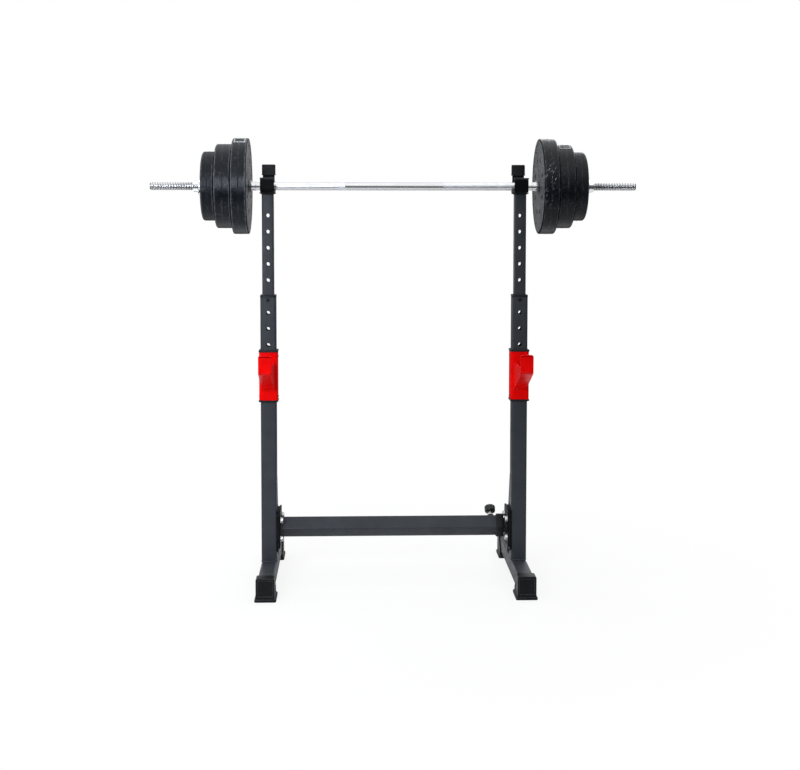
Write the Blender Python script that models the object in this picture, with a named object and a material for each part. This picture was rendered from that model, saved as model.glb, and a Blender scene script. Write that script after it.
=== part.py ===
"""Adjustable squat stand with a loaded barbell.

Two telescoping uprights stand on base tubes and are joined low down by a telescoping cross tube.
Each upright carries a U shaped bar hook on its post and a red safety catch that slides on its outer tube.
X runs along the bar, -Y is the lifter's side with the catches, +Z is up. Lengths are in metres.
"""

import math

import bmesh
import bpy
from mathutils import Matrix, Vector

MM = 0.001
GAP = 0.3 * MM
SIDES = (("left", -1), ("right", 1))

# Layout of the stand, measured from the axis of an upright
UPRIGHT_X = 390 * MM
FRONT_REACH = 236 * MM
REAR_REACH = 337 * MM
UPRIGHT_Y = (FRONT_REACH - REAR_REACH) / 2
TUBE = 48 * MM
TUBE_WALL = 2 * MM
TUBE_CORNER = 5 * MM
HOLE_RADIUS = 6 * MM
HOLE_PITCH = 50 * MM

# Feet and base tubes
SOLE_WIDTH = 65 * MM
SOLE_LENGTH = 92 * MM
SOLE_HEIGHT = 9 * MM
BOOT_WIDTH = 56.5 * MM
BOOT_HEIGHT = 71 * MM
BOOT_TOP_LENGTH = 44 * MM
BOOT_WALL = 4 * MM
BASE_BOTTOM = 18 * MM
BASE_TOP = BASE_BOTTOM + TUBE

# Uprights, posts and height pins
UPRIGHT_TOP = 892 * MM
BUSH_HEIGHT = 8 * MM
BUSH_SKIRT = 40 * MM
POST = 36 * MM
POST_WALL = 1.8 * MM
POST_BOTTOM = 550 * MM
POST_TOP = 1209 * MM
POST_FIRST_HOLE = 1145 * MM
POST_HOLES = 11
UPRIGHT_FIRST_HOLE = 845 * MM
UPRIGHT_HOLES = 6
BUSH_SCREW_HOLE = 884 * MM
HEIGHT_PIN_Z = 870 * MM
POST_FIRST_PIN_HOLE = 1170 * MM
BRACE_TOP = 340 * MM
BRACE_FOOT = 120 * MM
BRACE_DEPTH = 30 * MM

# Cross tube with its end plates
CROSS_Y = 24 * MM
CROSS_Z = 166 * MM
COLLAR_START = 322 * MM
COLLAR_LENGTH = 24 * MM
COLLAR_SIZE = 59 * MM
CROSS_INNER_START = 20 * MM
PLATE_THICKNESS = 5 * MM
PLATE_WIDTH = 104 * MM
PLATE_HEIGHT = 120 * MM
PLATE_BOLT_Y = 38 * MM
PLATE_BOLT_Z = 29 * MM
PLATE_BOLT_RADIUS = 5.5 * MM
WIDTH_PIN_X = 308 * MM

# Safety catches
CATCH_BOTTOM = 574 * MM
CATCH_HEIGHT = 149 * MM
CATCH_SIZE = 57 * MM
CATCH_WALL = 3 * MM
CATCH_BUSH_SIZE = 60 * MM
CATCH_BUSH_HEIGHT = 6 * MM
CATCH_BUSH_SKIRT = 22 * MM
CATCH_PIN_Z = 645 * MM
ARM_WIDTH = 38.6 * MM
ARM_REACH = 172 * MM
ARM_SHEET = 4 * MM
ARM_LOW = 604 * MM
ARM_FRONT_LOW = 676 * MM
ARM_CHEEK_TOP = 694 * MM
LIP_TOP = 732 * MM
SEAT_RADIUS = 16 * MM
SEAT_LOW = 684 * MM

# Bar hooks
HOOK_SHEET = 4 * MM
HOOK_FRONT = 42 * MM
HOOK_BACK = 52 * MM
HOOK_WIDTH = 43 * MM
HOOK_BACK_WIDTH = 37 * MM
HOOK_LIP_TOP = 1256 * MM
HOOK_BACK_TOP = 1299 * MM
HOOK_BEND = 12 * MM
PAD_SHEET = 2 * MM
PAD_WIDTH = 41.6 * MM
PAD_ROLL_WIDTH = 44.4 * MM
PAD_ROLL_RADIUS = 3.4 * MM
POST_CAP_HEIGHT = 6 * MM
POST_CAP_SIZE = 50 * MM
BACK_CAP_WIDTH = 42 * MM
BACK_CAP_BOTTOM = 1270 * MM
BACK_CAP_TOP = 1303 * MM

# Spring pull pins
PIN_RADIUS = 5 * MM
PIN_BORE_RADIUS = 5.6 * MM
BOSS_RADIUS = 10 * MM
BOSS_LENGTH = 12 * MM
PIN_NECK = 12 * MM
KNOB_RADIUS = 17 * MM
KNOB_LENGTH = 21 * MM
PIN_TIP_GAP = 0.6 * MM

# Barbell
BAR_RADIUS = 12.5 * MM
BAR_HALF = 750 * MM
COLLAR_INNER_X = 426 * MM
COLLAR_WIDTH = 20.5 * MM
BAR_COLLAR_RADIUS = 17 * MM
BAR_COLLAR_NECK = 14 * MM
PLATE_BORE_RADIUS = 13.4 * MM
PLATES = (
    ("large", 447 * MM, 48.5 * MM, 147 * MM, 3.5 * MM),
    ("medium", 496 * MM, 51 * MM, 129 * MM, 5 * MM),
    ("small", 548 * MM, 41 * MM, 106 * MM, 7 * MM),
)
PLATE_SEGMENTS = 28
RECESS_RING = 84 * MM
RECESS_RADIUS = 6.5 * MM
RECESS_DEPTH = 8 * MM
NUT_X = 590 * MM
NUT_LENGTH = 28 * MM

HOOK_FLOOR = POST_TOP + 2 * GAP + POST_CAP_HEIGHT
PAD_FLOOR = HOOK_FLOOR + HOOK_SHEET + GAP
BAR_Z = PAD_FLOOR + PAD_SHEET + GAP + BAR_RADIUS


def finish(name, color, roughness, metallic):
    """Makes a plain Principled material, or returns the one already made."""
    material = bpy.data.materials.get(name)
    if material is None:
        material = bpy.data.materials.new(name)
        material.use_nodes = True
        shader = material.node_tree.nodes["Principled BSDF"]
        shader.inputs["Base Color"].default_value = (*color, 1.0)
        shader.inputs["Roughness"].default_value = roughness
        shader.inputs["Metallic"].default_value = metallic
    return material


def grey_paint():
    return finish("grey_powder_coat", (0.045, 0.048, 0.053), 0.55, 0.3)


def red_paint():
    return finish("red_gloss_paint", (0.72, 0.008, 0.008), 0.22, 0.1)


def black_plastic():
    return finish("black_plastic", (0.012, 0.012, 0.013), 0.5, 0.0)


def plate_plastic():
    return finish("black_plate_plastic", (0.022, 0.024, 0.028), 0.65, 0.0)


def black_steel():
    return finish("black_painted_steel", (0.01, 0.01, 0.012), 0.4, 0.3)


def chrome():
    return finish("bar_chrome", (0.78, 0.79, 0.8), 0.18, 1.0)


def zinc():
    return finish("zinc_plate", (0.6, 0.61, 0.62), 0.32, 1.0)


def axis_empty(name, location, parent=None):
    """An empty that marks a joint's axis and carries the pieces that move on it."""
    empty = bpy.data.objects.new(name, None)
    empty.empty_display_size = 0.05
    empty.location = location
    bpy.context.scene.collection.objects.link(empty)
    if parent is not None:
        empty.parent = parent
        empty.matrix_parent_inverse = Matrix.Translation(-world_place(parent))
    return empty


def world_place(obj):
    """World location of an unrotated object, from its parents' own locations."""
    place = obj.matrix_parent_inverse @ obj.location
    return place if obj.parent is None else world_place(obj.parent) + place


def add_object(name, mesh, material, location, parent=None, turn=0.0):
    """Places a mesh in the world and hangs it on its parent without moving it."""
    obj = bpy.data.objects.new(name, mesh)
    bpy.context.scene.collection.objects.link(obj)
    obj.location = location
    obj.rotation_euler = (0.0, 0.0, turn)
    if not mesh.materials:
        mesh.materials.append(material)
    if parent is not None:
        obj.parent = parent
        obj.matrix_parent_inverse = Matrix.Translation(-world_place(parent))
    return obj


def mesh_from(name, bm, smooth=False):
    """Closes a bmesh into a mesh with its faces pointing out."""
    bmesh.ops.recalc_face_normals(bm, faces=bm.faces)
    mesh = bpy.data.meshes.new(name)
    bm.to_mesh(mesh)
    bm.free()
    if smooth:
        mesh.shade_smooth()
        mesh.set_sharp_from_angle(angle=math.radians(35))
    return mesh


def combine(mesh, cutter, operation="DIFFERENCE"):
    """Returns the Boolean of two meshes that share one frame."""
    body = bpy.data.objects.new("work_body", mesh)
    tool = bpy.data.objects.new("work_tool", cutter)
    for obj in (body, tool):
        bpy.context.scene.collection.objects.link(obj)
    boolean = body.modifiers.new("Boolean", "BOOLEAN")
    boolean.operation = operation
    boolean.solver = "EXACT"
    boolean.object = tool
    graph = bpy.context.evaluated_depsgraph_get()
    result = bpy.data.meshes.new_from_object(body.evaluated_get(graph))
    result.name = mesh.name
    bpy.data.objects.remove(body)
    bpy.data.objects.remove(tool)
    return result


def rounded_rectangle(width, depth, radius, steps=2):
    """Corner points of a rectangle with round corners, anticlockwise about its centre."""
    points = []
    for corner in range(4):
        sign_x = 1 if corner in (0, 3) else -1
        sign_y = 1 if corner in (0, 1) else -1
        centre = Vector((sign_x * (width / 2 - radius), sign_y * (depth / 2 - radius)))
        for step in range(steps + 1):
            angle = math.radians(90 * (corner + step / steps))
            points.append(centre + radius * Vector((math.cos(angle), math.sin(angle))))
    return points


def circle(radius, segments, centre=(0.0, 0.0)):
    """Points round a circle whose flats, not corners, lie on the radius."""
    reach = radius / math.cos(math.pi / segments)
    turn = 2 * math.pi / segments
    return [
        Vector(centre) + reach * Vector((math.cos(turn * (i + 0.5)), math.sin(turn * (i + 0.5))))
        for i in range(segments)
    ]


def arc(centre, radius, start, end, steps):
    """Points along an arc, with its angles in degrees."""
    points = []
    for step in range(steps + 1):
        angle = math.radians(start + (end - start) * step / steps)
        points.append((centre[0] + radius * math.cos(angle), centre[1] + radius * math.sin(angle)))
    return points


AXES = {
    "X": Matrix(((0, 0, 1), (1, 0, 0), (0, 1, 0))),
    "Y": Matrix(((1, 0, 0), (0, 0, 1), (0, 1, 0))),
    "Z": Matrix.Identity(3),
}


def loft(bm, sections, axis="Z"):
    """Skins closed sections, each a list of 2D points with a place along the axis, into one solid."""
    frame = AXES[axis]
    rings = []
    for points, place in sections:
        rings.append([bm.verts.new(frame @ Vector((p[0], p[1], place))) for p in points])
    for low, high in zip(rings, rings[1:]):
        for i in range(len(low)):
            j = (i + 1) % len(low)
            bm.faces.new((low[i], low[j], high[j], high[i]))
    bm.faces.new(rings[0])
    bm.faces.new(rings[-1])


def prism(name, points, low, high, axis="Z"):
    """A flat outline pushed along an axis."""
    bm = bmesh.new()
    loft(bm, ((points, low), (points, high)), axis)
    return mesh_from(name, bm)


def ring_loft(name, sections, axis="Z", smooth=False):
    """A pipe skinned through sections, each an outer outline, an inner outline and a place."""
    frame = AXES[axis]
    bm = bmesh.new()
    rings = []
    for outer, inner, place in sections:
        for points in (outer, inner):
            rings.append([bm.verts.new(frame @ Vector((p[0], p[1], place))) for p in points])
    outers = rings[0::2]
    inners = rings[1::2]
    path = outers + inners[::-1]
    for first, second in zip(path, path[1:] + path[:1]):
        for i in range(len(first)):
            j = (i + 1) % len(first)
            bm.faces.new((first[i], first[j], second[j], second[i]))
    return mesh_from(name, bm, smooth)


def lathe(name, profile, segments, axis="X", radius_at=None):
    """Turns a closed profile of (place, radius) points; radius_at may bend a radius with the angle."""
    frame = AXES[axis]
    bm = bmesh.new()
    rings = []
    for index, (place, radius) in enumerate(profile):
        ring = []
        for step in range(segments):
            angle = 2 * math.pi * step / segments
            reach = radius_at(index, radius, angle) if radius_at else radius
            point = Vector((reach * math.cos(angle), reach * math.sin(angle), place))
            ring.append(bm.verts.new(frame @ point))
        rings.append(ring)
    for first, second in zip(rings, rings[1:] + rings[:1]):
        for i in range(segments):
            j = (i + 1) % segments
            bm.faces.new((first[i], first[j], second[j], second[i]))
    return mesh_from(name, bm, smooth=True)


def turned_solid(name, profile, segments, axis="X"):
    """Turns an open profile of (place, radius) points and closes both ends with a disc."""
    frame = AXES[axis]
    bm = bmesh.new()
    rings = []
    for place, radius in profile:
        points = [(radius * math.cos(a), radius * math.sin(a)) for a in
                  (2 * math.pi * step / segments for step in range(segments))]
        rings.append([bm.verts.new(frame @ Vector((p[0], p[1], place))) for p in points])
    for first, second in zip(rings, rings[1:]):
        for i in range(segments):
            j = (i + 1) % segments
            bm.faces.new((first[i], first[j], second[j], second[i]))
    bm.faces.new(rings[0])
    bm.faces.new(rings[-1])
    return mesh_from(name, bm, smooth=True)


def drills(centres, radius, low, high, axis, segments=8):
    """One cutter with a round bar for every hole; centres are in the plane across the axis."""
    bm = bmesh.new()
    for centre in centres:
        outline = circle(radius, segments, centre)
        loft(bm, ((outline, low), (outline, high)), axis)
    return mesh_from("drills", bm)


def square_tube(name, size, wall, corner, low, high, axis="Z", turn=0.0):
    """A square tube with round corners; turn rolls it about its own axis."""
    roll = Matrix.Rotation(turn, 2)
    outer = [roll @ p for p in rounded_rectangle(size, size, corner)]
    inner = [roll @ p for p in rounded_rectangle(size - 2 * wall, size - 2 * wall, corner - wall)]
    return ring_loft(name, ((outer, inner, low), (outer, inner, high)), axis)


def boss_on(mesh, place_z, face_y, length):
    """Welds a round boss to the rear face of a tube and bores it, with the wall behind it."""
    outline = circle(BOSS_RADIUS, 16, (0.0, place_z))
    boss = prism("boss", outline, face_y - 0.8 * MM, face_y + length, "Y")
    mesh = combine(mesh, boss, "UNION")
    bore = drills(((0.0, place_z),), PIN_BORE_RADIUS, 0.0, face_y + length + MM, "Y", 12)
    return combine(mesh, bore)


def base_tube_mesh():
    """Front to back floor tube, open at both ends inside its boots."""
    low = -FRONT_REACH + BOOT_WALL + GAP
    high = REAR_REACH - BOOT_WALL - GAP
    mesh = square_tube("base_tube", TUBE, TUBE_WALL, TUBE_CORNER, low, high, "Y")
    mesh.transform(Matrix.Translation((0, 0, BASE_BOTTOM + TUBE / 2)))
    return mesh


def foot_mesh():
    """Moulded boot, drawn for the front end: its nose is at y = 0 and it runs back under the tube."""
    nose_corner = 6 * MM
    bottom = rounded_rectangle(SOLE_WIDTH, SOLE_LENGTH, nose_corner)
    bm = bmesh.new()
    middle = SOLE_LENGTH / 2
    shift = [Vector((p.x, p.y + middle)) for p in bottom]
    loft(bm, ((shift, 0.0), (shift, SOLE_HEIGHT)))
    sole = mesh_from("foot", bm)
    cheek = ((0.5 * MM, SOLE_HEIGHT - MM), (SOLE_LENGTH - 6 * MM, SOLE_HEIGHT - MM),
             (SOLE_LENGTH - 8 * MM, 20 * MM), (BOOT_TOP_LENGTH, BOOT_HEIGHT - 5 * MM),
             (BOOT_TOP_LENGTH - 4 * MM, BOOT_HEIGHT), (6 * MM, BOOT_HEIGHT),
             (1.5 * MM, BOOT_HEIGHT - 5 * MM))
    boot = prism("boot", cheek, -BOOT_WIDTH / 2, BOOT_WIDTH / 2, "X")
    front_view = rounded_rectangle(BOOT_WIDTH, 2 * BOOT_HEIGHT, 6 * MM)
    trim = prism("trim", front_view, -MM, SOLE_LENGTH + MM, "Y")
    boot = combine(boot, trim, "INTERSECT")
    foot = combine(sole, boot, "UNION")
    pocket_outline = rounded_rectangle(TUBE + 2 * GAP, TUBE + 2 * GAP, TUBE_CORNER + GAP)
    centre_z = BASE_BOTTOM + TUBE / 2
    pocket_view = [(p.x, p.y + centre_z) for p in pocket_outline]
    foot = combine(foot, prism("pocket", pocket_view, BOOT_WALL, SOLE_LENGTH + MM, "Y"))
    panel_view = [(p.x, p.y + centre_z - 2 * MM) for p in rounded_rectangle(42 * MM, 46 * MM, 4 * MM)]
    return combine(foot, prism("panel", panel_view, -MM, 1.8 * MM, "Y"))


def upright_mesh():
    """Outer tube with its through holes, the blind front hole of its bush and the boss of the height pin."""
    mesh = square_tube("upright", TUBE, TUBE_WALL, TUBE_CORNER, BASE_TOP + GAP, UPRIGHT_TOP)
    mesh = boss_on(mesh, HEIGHT_PIN_Z, TUBE / 2, BOSS_LENGTH)
    mesh = combine(mesh, drills(((0.0, BUSH_SCREW_HOLE),), HOLE_RADIUS, -TUBE, 0.0, "Y"))
    through = [(0.0, UPRIGHT_FIRST_HOLE - HOLE_PITCH * i) for i in range(UPRIGHT_HOLES)]
    return combine(mesh, drills(through, HOLE_RADIUS, -TUBE, TUBE, "Y"))


def upright_bush_mesh():
    """Black guide bush: a flange on the tube's end and a skirt down inside it."""
    bore = rounded_rectangle(POST + 0.8 * MM, POST + 0.8 * MM, 4 * MM)
    skirt_size = TUBE - 2 * TUBE_WALL - 2 * GAP
    skirt = rounded_rectangle(skirt_size, skirt_size, TUBE_CORNER - TUBE_WALL)
    flange = rounded_rectangle(TUBE + MM, TUBE + MM, TUBE_CORNER)
    flange_top = rounded_rectangle(TUBE - 2 * MM, TUBE - 2 * MM, TUBE_CORNER)
    sections = (
        (skirt, bore, -BUSH_SKIRT),
        (skirt, bore, GAP),
        (flange, bore, GAP),
        (flange, bore, BUSH_HEIGHT - 2 * MM),
        (flange_top, bore, BUSH_HEIGHT),
    )
    mesh = ring_loft("upright_bush", sections)
    mesh.transform(Matrix.Translation((0, 0, UPRIGHT_TOP)))
    mesh = combine(mesh, drills(((0.0, BUSH_SCREW_HOLE),), HOLE_RADIUS, -TUBE, 0.0, "Y"))
    return combine(mesh, drills(((0.0, HEIGHT_PIN_Z),), PIN_BORE_RADIUS, 0.0, TUBE, "Y", 12))


def mitred_tube(name, outer, inner, origin, direction, ends):
    """A tube whose two ends are cut by planes, each given by a point and a normal."""
    across = Vector((1, 0, 0))
    up = direction.cross(across)
    bm = bmesh.new()
    rings = []
    for point, normal in ends:
        for outline in (outer, inner):
            ring = []
            for p in outline:
                start = origin + across * p[0] + up * p[1]
                reach = (point - start).dot(normal) / direction.dot(normal)
                ring.append(bm.verts.new(start + direction * reach))
            rings.append(ring)
    path = (rings[0], rings[2], rings[3], rings[1])
    for first, second in zip(path, path[1:] + path[:1]):
        for i in range(len(first)):
            j = (i + 1) % len(first)
            bm.faces.new((first[i], first[j], second[j], second[i]))
    return mesh_from(name, bm)


def brace_mesh():
    """Sloping tube from the rear face of the upright down to the base tube, mitred at both ends."""
    top = Vector((0, TUBE / 2, BRACE_TOP))
    foot = Vector((0, BRACE_FOOT, BASE_TOP))
    direction = (foot - top).normalized()
    inward = Vector((0, direction.z, -direction.y))
    origin = (top + foot) / 2 + inward * BRACE_DEPTH / 2
    outer = rounded_rectangle(TUBE, BRACE_DEPTH, 4 * MM)
    inner = rounded_rectangle(TUBE - 2 * TUBE_WALL, BRACE_DEPTH - 2 * TUBE_WALL, 2 * MM)
    ends = (
        (Vector((0, TUBE / 2 + GAP, 0)), Vector((0, 1, 0))),
        (Vector((0, 0, BASE_TOP + GAP)), Vector((0, 0, 1))),
    )
    return mitred_tube("brace", outer, inner, origin, direction, ends)


def bolt_places():
    """Centres of the four bolts, across the cross tube's axis."""
    return [(y * PLATE_BOLT_Y, z * PLATE_BOLT_Z) for y in (-1, 1) for z in (-1, 1)]


def end_plate_mesh():
    """Bolted flange on the end of the cross tube."""
    outline = rounded_rectangle(PLATE_WIDTH, PLATE_HEIGHT, 10 * MM)
    plate = prism("end_plate", outline, 0.0, PLATE_THICKNESS, "X")
    return combine(plate, drills(bolt_places(), PLATE_BOLT_RADIUS, -MM, PLATE_THICKNESS + MM, "X", 10))


def bracket_mesh():
    """Plate welded flat on the upright and its brace, with its lower rear corner cut off."""
    half_width = PLATE_WIDTH / 2
    half_height = PLATE_HEIGHT / 2
    cut = 22 * MM
    drop = 8 * MM
    outline = (
        (-half_width, -half_height - drop),
        (half_width - cut, -half_height - drop),
        (half_width, -half_height + cut - drop),
        (half_width, half_height - cut),
        (half_width - cut, half_height),
        (-half_width, half_height),
    )
    plate = prism("bracket", outline, 0.0, PLATE_THICKNESS, "X")
    return combine(plate, drills(bolt_places(), PLATE_BOLT_RADIUS, -MM, PLATE_THICKNESS + MM, "X", 10))


def cross_tube_mesh():
    """Outer cross tube, set on edge, with the boss of the width pin on its upper rear face."""
    start = -(UPRIGHT_X - TUBE / 2 - 2 * PLATE_THICKNESS - 3 * GAP)
    mesh = square_tube("cross_tube", TUBE, TUBE_WALL, TUBE_CORNER, start, COLLAR_START, "X")
    outline = circle(BOSS_RADIUS, 16, (WIDTH_PIN_X, 0.0))
    boss = prism("boss", outline, TUBE / 2 - 0.8 * MM, TUBE / 2 + BOSS_LENGTH)
    mesh = combine(mesh, boss, "UNION")
    bore = drills(((WIDTH_PIN_X, 0.0),), PIN_BORE_RADIUS, 0.0, TUBE / 2 + BOSS_LENGTH + MM, "Z", 12)
    mesh = combine(mesh, bore)
    mesh.transform(Matrix.Rotation(math.radians(-45), 4, "X"))
    return mesh


def cross_collar_mesh():
    """Black end collar of the cross tube: a thick flange outside and a skirt inside the tube."""
    bore = rounded_rectangle(POST + 0.8 * MM, POST + 0.8 * MM, 4 * MM)
    skirt_size = TUBE - 2 * TUBE_WALL - 2 * GAP
    skirt = rounded_rectangle(skirt_size, skirt_size, TUBE_CORNER - TUBE_WALL)
    rim = rounded_rectangle(COLLAR_SIZE - 5 * MM, COLLAR_SIZE - 5 * MM, 7 * MM)
    flange = rounded_rectangle(COLLAR_SIZE, COLLAR_SIZE, 8 * MM)
    sections = (
        (skirt, bore, -BUSH_SKIRT),
        (skirt, bore, GAP),
        (rim, bore, GAP),
        (flange, bore, 3 * MM),
        (flange, bore, COLLAR_LENGTH - 4 * MM),
        (rim, bore, COLLAR_LENGTH),
    )
    mesh = ring_loft("cross_collar", sections, "X")
    pin_place = (WIDTH_PIN_X - COLLAR_START, 0.0)
    mesh = combine(mesh, drills((pin_place,), PIN_BORE_RADIUS, 0.0, TUBE, "Z", 12))
    mesh.transform(Matrix.Rotation(math.radians(-45), 4, "X"))
    return mesh


def cross_inner_mesh():
    """Inner cross tube that slides in the outer one, welded to the right end plate."""
    end = UPRIGHT_X - TUBE / 2 - 2 * PLATE_THICKNESS - 3 * GAP
    turn = math.radians(45)
    return square_tube("cross_inner", POST, POST_WALL, 3.5 * MM, CROSS_INNER_START, end, "X", turn)


def post_mesh():
    """Inner tube of an upright: through holes in line with the outer tube's, pin holes behind."""
    mesh = square_tube("post", POST, POST_WALL, 3.5 * MM, POST_BOTTOM, POST_TOP)
    centres = [(0.0, POST_FIRST_HOLE - HOLE_PITCH * i) for i in range(POST_HOLES)]
    mesh = combine(mesh, drills(centres, HOLE_RADIUS, -POST, POST, "Y"))
    pin_holes = [(0.0, POST_FIRST_PIN_HOLE - HOLE_PITCH * i) for i in range(POST_HOLES)]
    return combine(mesh, drills(pin_holes, HOLE_RADIUS, 0.0, POST, "Y"))


def post_cap_mesh():
    """Cap on the post: a plug inside the tube and a flange that tapers down to it."""
    plug = POST - 2 * POST_WALL - 2 * GAP
    low = POST_TOP + GAP
    sections = (
        (rounded_rectangle(plug - 2 * MM, plug - 2 * MM, 2 * MM), low - 18 * MM),
        (rounded_rectangle(plug, plug, 2 * MM), low - 15 * MM),
        (rounded_rectangle(plug, plug, 2 * MM), low),
        (rounded_rectangle(POST, POST, 4 * MM), low),
        (rounded_rectangle(POST_CAP_SIZE, POST_CAP_SIZE, 4 * MM), low + POST_CAP_HEIGHT - 2 * MM),
        (rounded_rectangle(POST_CAP_SIZE, POST_CAP_SIZE, 4 * MM), low + POST_CAP_HEIGHT),
    )
    bm = bmesh.new()
    loft(bm, sections)
    return mesh_from("post_cap", bm)


def u_path(inset, front_top, back_top):
    """Side view of a U from the lip's top to the back plate's top, inset from the hook's skin."""
    front = -HOOK_FRONT + inset
    back = HOOK_BACK - inset
    floor = HOOK_FLOOR + inset
    radius = HOOK_BEND - inset
    path = [(front, front_top)]
    path += arc((front + radius, floor + radius), radius, 180, 270, 5)
    path += arc((back - radius, floor + radius), radius, 270, 360, 5)
    path.append((back, back_top))
    return path


def bent_strip(name, outside, inside, width_at):
    """A bent plate: the same number of points along its outside and its inside, and a width at each."""
    bm = bmesh.new()
    rings = []
    for skin, core in zip(outside, inside):
        ring = []
        for (y, z), side in ((skin, -1), (skin, 1), (core, 1), (core, -1)):
            ring.append(bm.verts.new((side * width_at(skin) / 2, y, z)))
        rings.append(ring)
    for first, second in zip(rings, rings[1:]):
        for i in range(4):
            j = (i + 1) % 4
            bm.faces.new((first[i], first[j], second[j], second[i]))
    bm.faces.new(rings[0])
    bm.faces.new(rings[-1])
    return mesh_from(name, bm)


def hook_mesh():
    """U shaped bar hook bent from one plate, with a low lip in front and a tall, narrower back."""
    neck = HOOK_FLOOR + 2.5 * HOOK_BEND

    def path(inset):
        points = u_path(inset, HOOK_LIP_TOP, HOOK_BACK_TOP)
        return points[:-1] + [(points[-1][0], neck), points[-1]]

    def width_at(point):
        return HOOK_BACK_WIDTH if point[1] >= neck and point[0] > 0 else HOOK_WIDTH

    mesh = bent_strip("hook", path(0.0), path(HOOK_SHEET), width_at)
    corner = rounded_rectangle(HOOK_WIDTH, 2 * (HOOK_LIP_TOP - HOOK_FLOOR), 3.5 * MM)
    view = prism("lip_view", [(p[0], p[1] + HOOK_FLOOR) for p in corner], -2 * HOOK_FRONT, 0.0, "Y")
    block = [(-TUBE, HOOK_FLOOR - TUBE), (TUBE, HOOK_FLOOR - TUBE), (TUBE, HOOK_BACK_TOP + TUBE),
             (-TUBE, HOOK_BACK_TOP + TUBE)]
    behind = prism("behind", block, -MM, 2 * HOOK_BACK, "Y")
    return combine(mesh, combine(view, behind, "UNION"), "INTERSECT")


def hook_pad_mesh():
    """Thin black liner inside the U, with a rolled edge over the top of the lip."""
    outside = HOOK_SHEET + GAP
    inside = outside + PAD_SHEET
    top = HOOK_LIP_TOP + MM
    back_top = BACK_CAP_BOTTOM - 6 * MM

    def width_at(point):
        return HOOK_BACK_WIDTH - 2 * MM if point[1] >= back_top else PAD_WIDTH

    strip = bent_strip("hook_pad", u_path(outside, top, back_top), u_path(inside, top, back_top), width_at)
    middle = -HOOK_FRONT + 3 * MM
    low = HOOK_LIP_TOP + GAP
    roll = arc((middle, low + MM), PAD_ROLL_RADIUS, 180, 0, 6)
    roll += [(-HOOK_FRONT + inside - 0.2 * MM, low), (middle - PAD_ROLL_RADIUS, low)]
    return combine(strip, prism("roll", roll, -PAD_ROLL_WIDTH / 2, PAD_ROLL_WIDTH / 2, "X"), "UNION")


def back_cap_mesh():
    """Soft cap pushed over the top of the back plate, with a flared lower edge."""
    thick = HOOK_SHEET + 8 * MM
    centre_y = HOOK_BACK - HOOK_SHEET / 2
    height = BACK_CAP_TOP - BACK_CAP_BOTTOM

    def section(width, depth, place):
        outline = rounded_rectangle(width, depth, min(4 * MM, depth / 2 - MM), 3)
        return [(p[0], p[1] + centre_y) for p in outline], BACK_CAP_BOTTOM + place

    sections = (
        section(BACK_CAP_WIDTH + 2.5 * MM, thick + 2 * MM, 0.0),
        section(BACK_CAP_WIDTH, thick, 3 * MM),
        section(BACK_CAP_WIDTH, thick, height - 3 * MM),
        section(BACK_CAP_WIDTH - 4 * MM, thick - 4 * MM, height),
    )
    bm = bmesh.new()
    loft(bm, sections)
    cap = mesh_from("back_cap", bm)
    slot_width = HOOK_BACK_WIDTH + 2 * GAP
    slot_depth = HOOK_SHEET + 2 * GAP
    corners = ((-1, -1), (1, -1), (1, 1), (-1, 1))
    slot = [(x * slot_width / 2, centre_y + y * slot_depth / 2) for x, y in corners]
    return combine(cap, prism("slot", slot, BACK_CAP_BOTTOM - MM, HOOK_BACK_TOP + GAP))


def catch_sleeve_mesh():
    """Red sleeve that slides on the upright, with the boss of its pull pin at the rear."""
    top = CATCH_BOTTOM + CATCH_HEIGHT
    mesh = square_tube("catch_sleeve", CATCH_SIZE, CATCH_WALL, 7 * MM, CATCH_BOTTOM, top)
    return boss_on(mesh, CATCH_PIN_Z, CATCH_SIZE / 2, BOSS_LENGTH)


def catch_bush_mesh():
    """Black guide bush of the sleeve, drawn for the top end: flange up, skirt down."""
    bore = rounded_rectangle(TUBE + 0.8 * MM, TUBE + 0.8 * MM, TUBE_CORNER + 0.4 * MM)
    skirt_size = CATCH_SIZE - 2 * CATCH_WALL - 2 * GAP
    skirt = rounded_rectangle(skirt_size, skirt_size, TUBE_CORNER)
    flange = rounded_rectangle(CATCH_BUSH_SIZE, CATCH_BUSH_SIZE, 8 * MM)
    flange_top = rounded_rectangle(CATCH_BUSH_SIZE - 3 * MM, CATCH_BUSH_SIZE - 3 * MM, 7 * MM)
    sections = (
        (skirt, bore, -CATCH_BUSH_SKIRT),
        (skirt, bore, GAP),
        (flange, bore, GAP),
        (flange, bore, CATCH_BUSH_HEIGHT - 2 * MM),
        (flange_top, bore, CATCH_BUSH_HEIGHT),
    )
    return ring_loft("catch_bush", sections)


def arm_outline(inset):
    """Side view of the catch arm as (y, z), inset by the sheet for the pocket; y = 0 is the sleeve."""
    front = -ARM_REACH
    bend = 12 * MM - inset
    slope = math.atan2(ARM_FRONT_LOW - ARM_LOW, ARM_REACH)
    rise = inset / math.cos(slope)
    low = ARM_LOW + rise
    turn = math.degrees(slope)
    corner_y = front + inset
    lift = bend * math.tan(math.radians((90 - turn) / 2))
    corner_z = low + math.tan(slope) * -corner_y
    centre = (corner_y + bend, corner_z + lift)
    return low, arc(centre, bend, 270 - turn, 180, 5)


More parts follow.
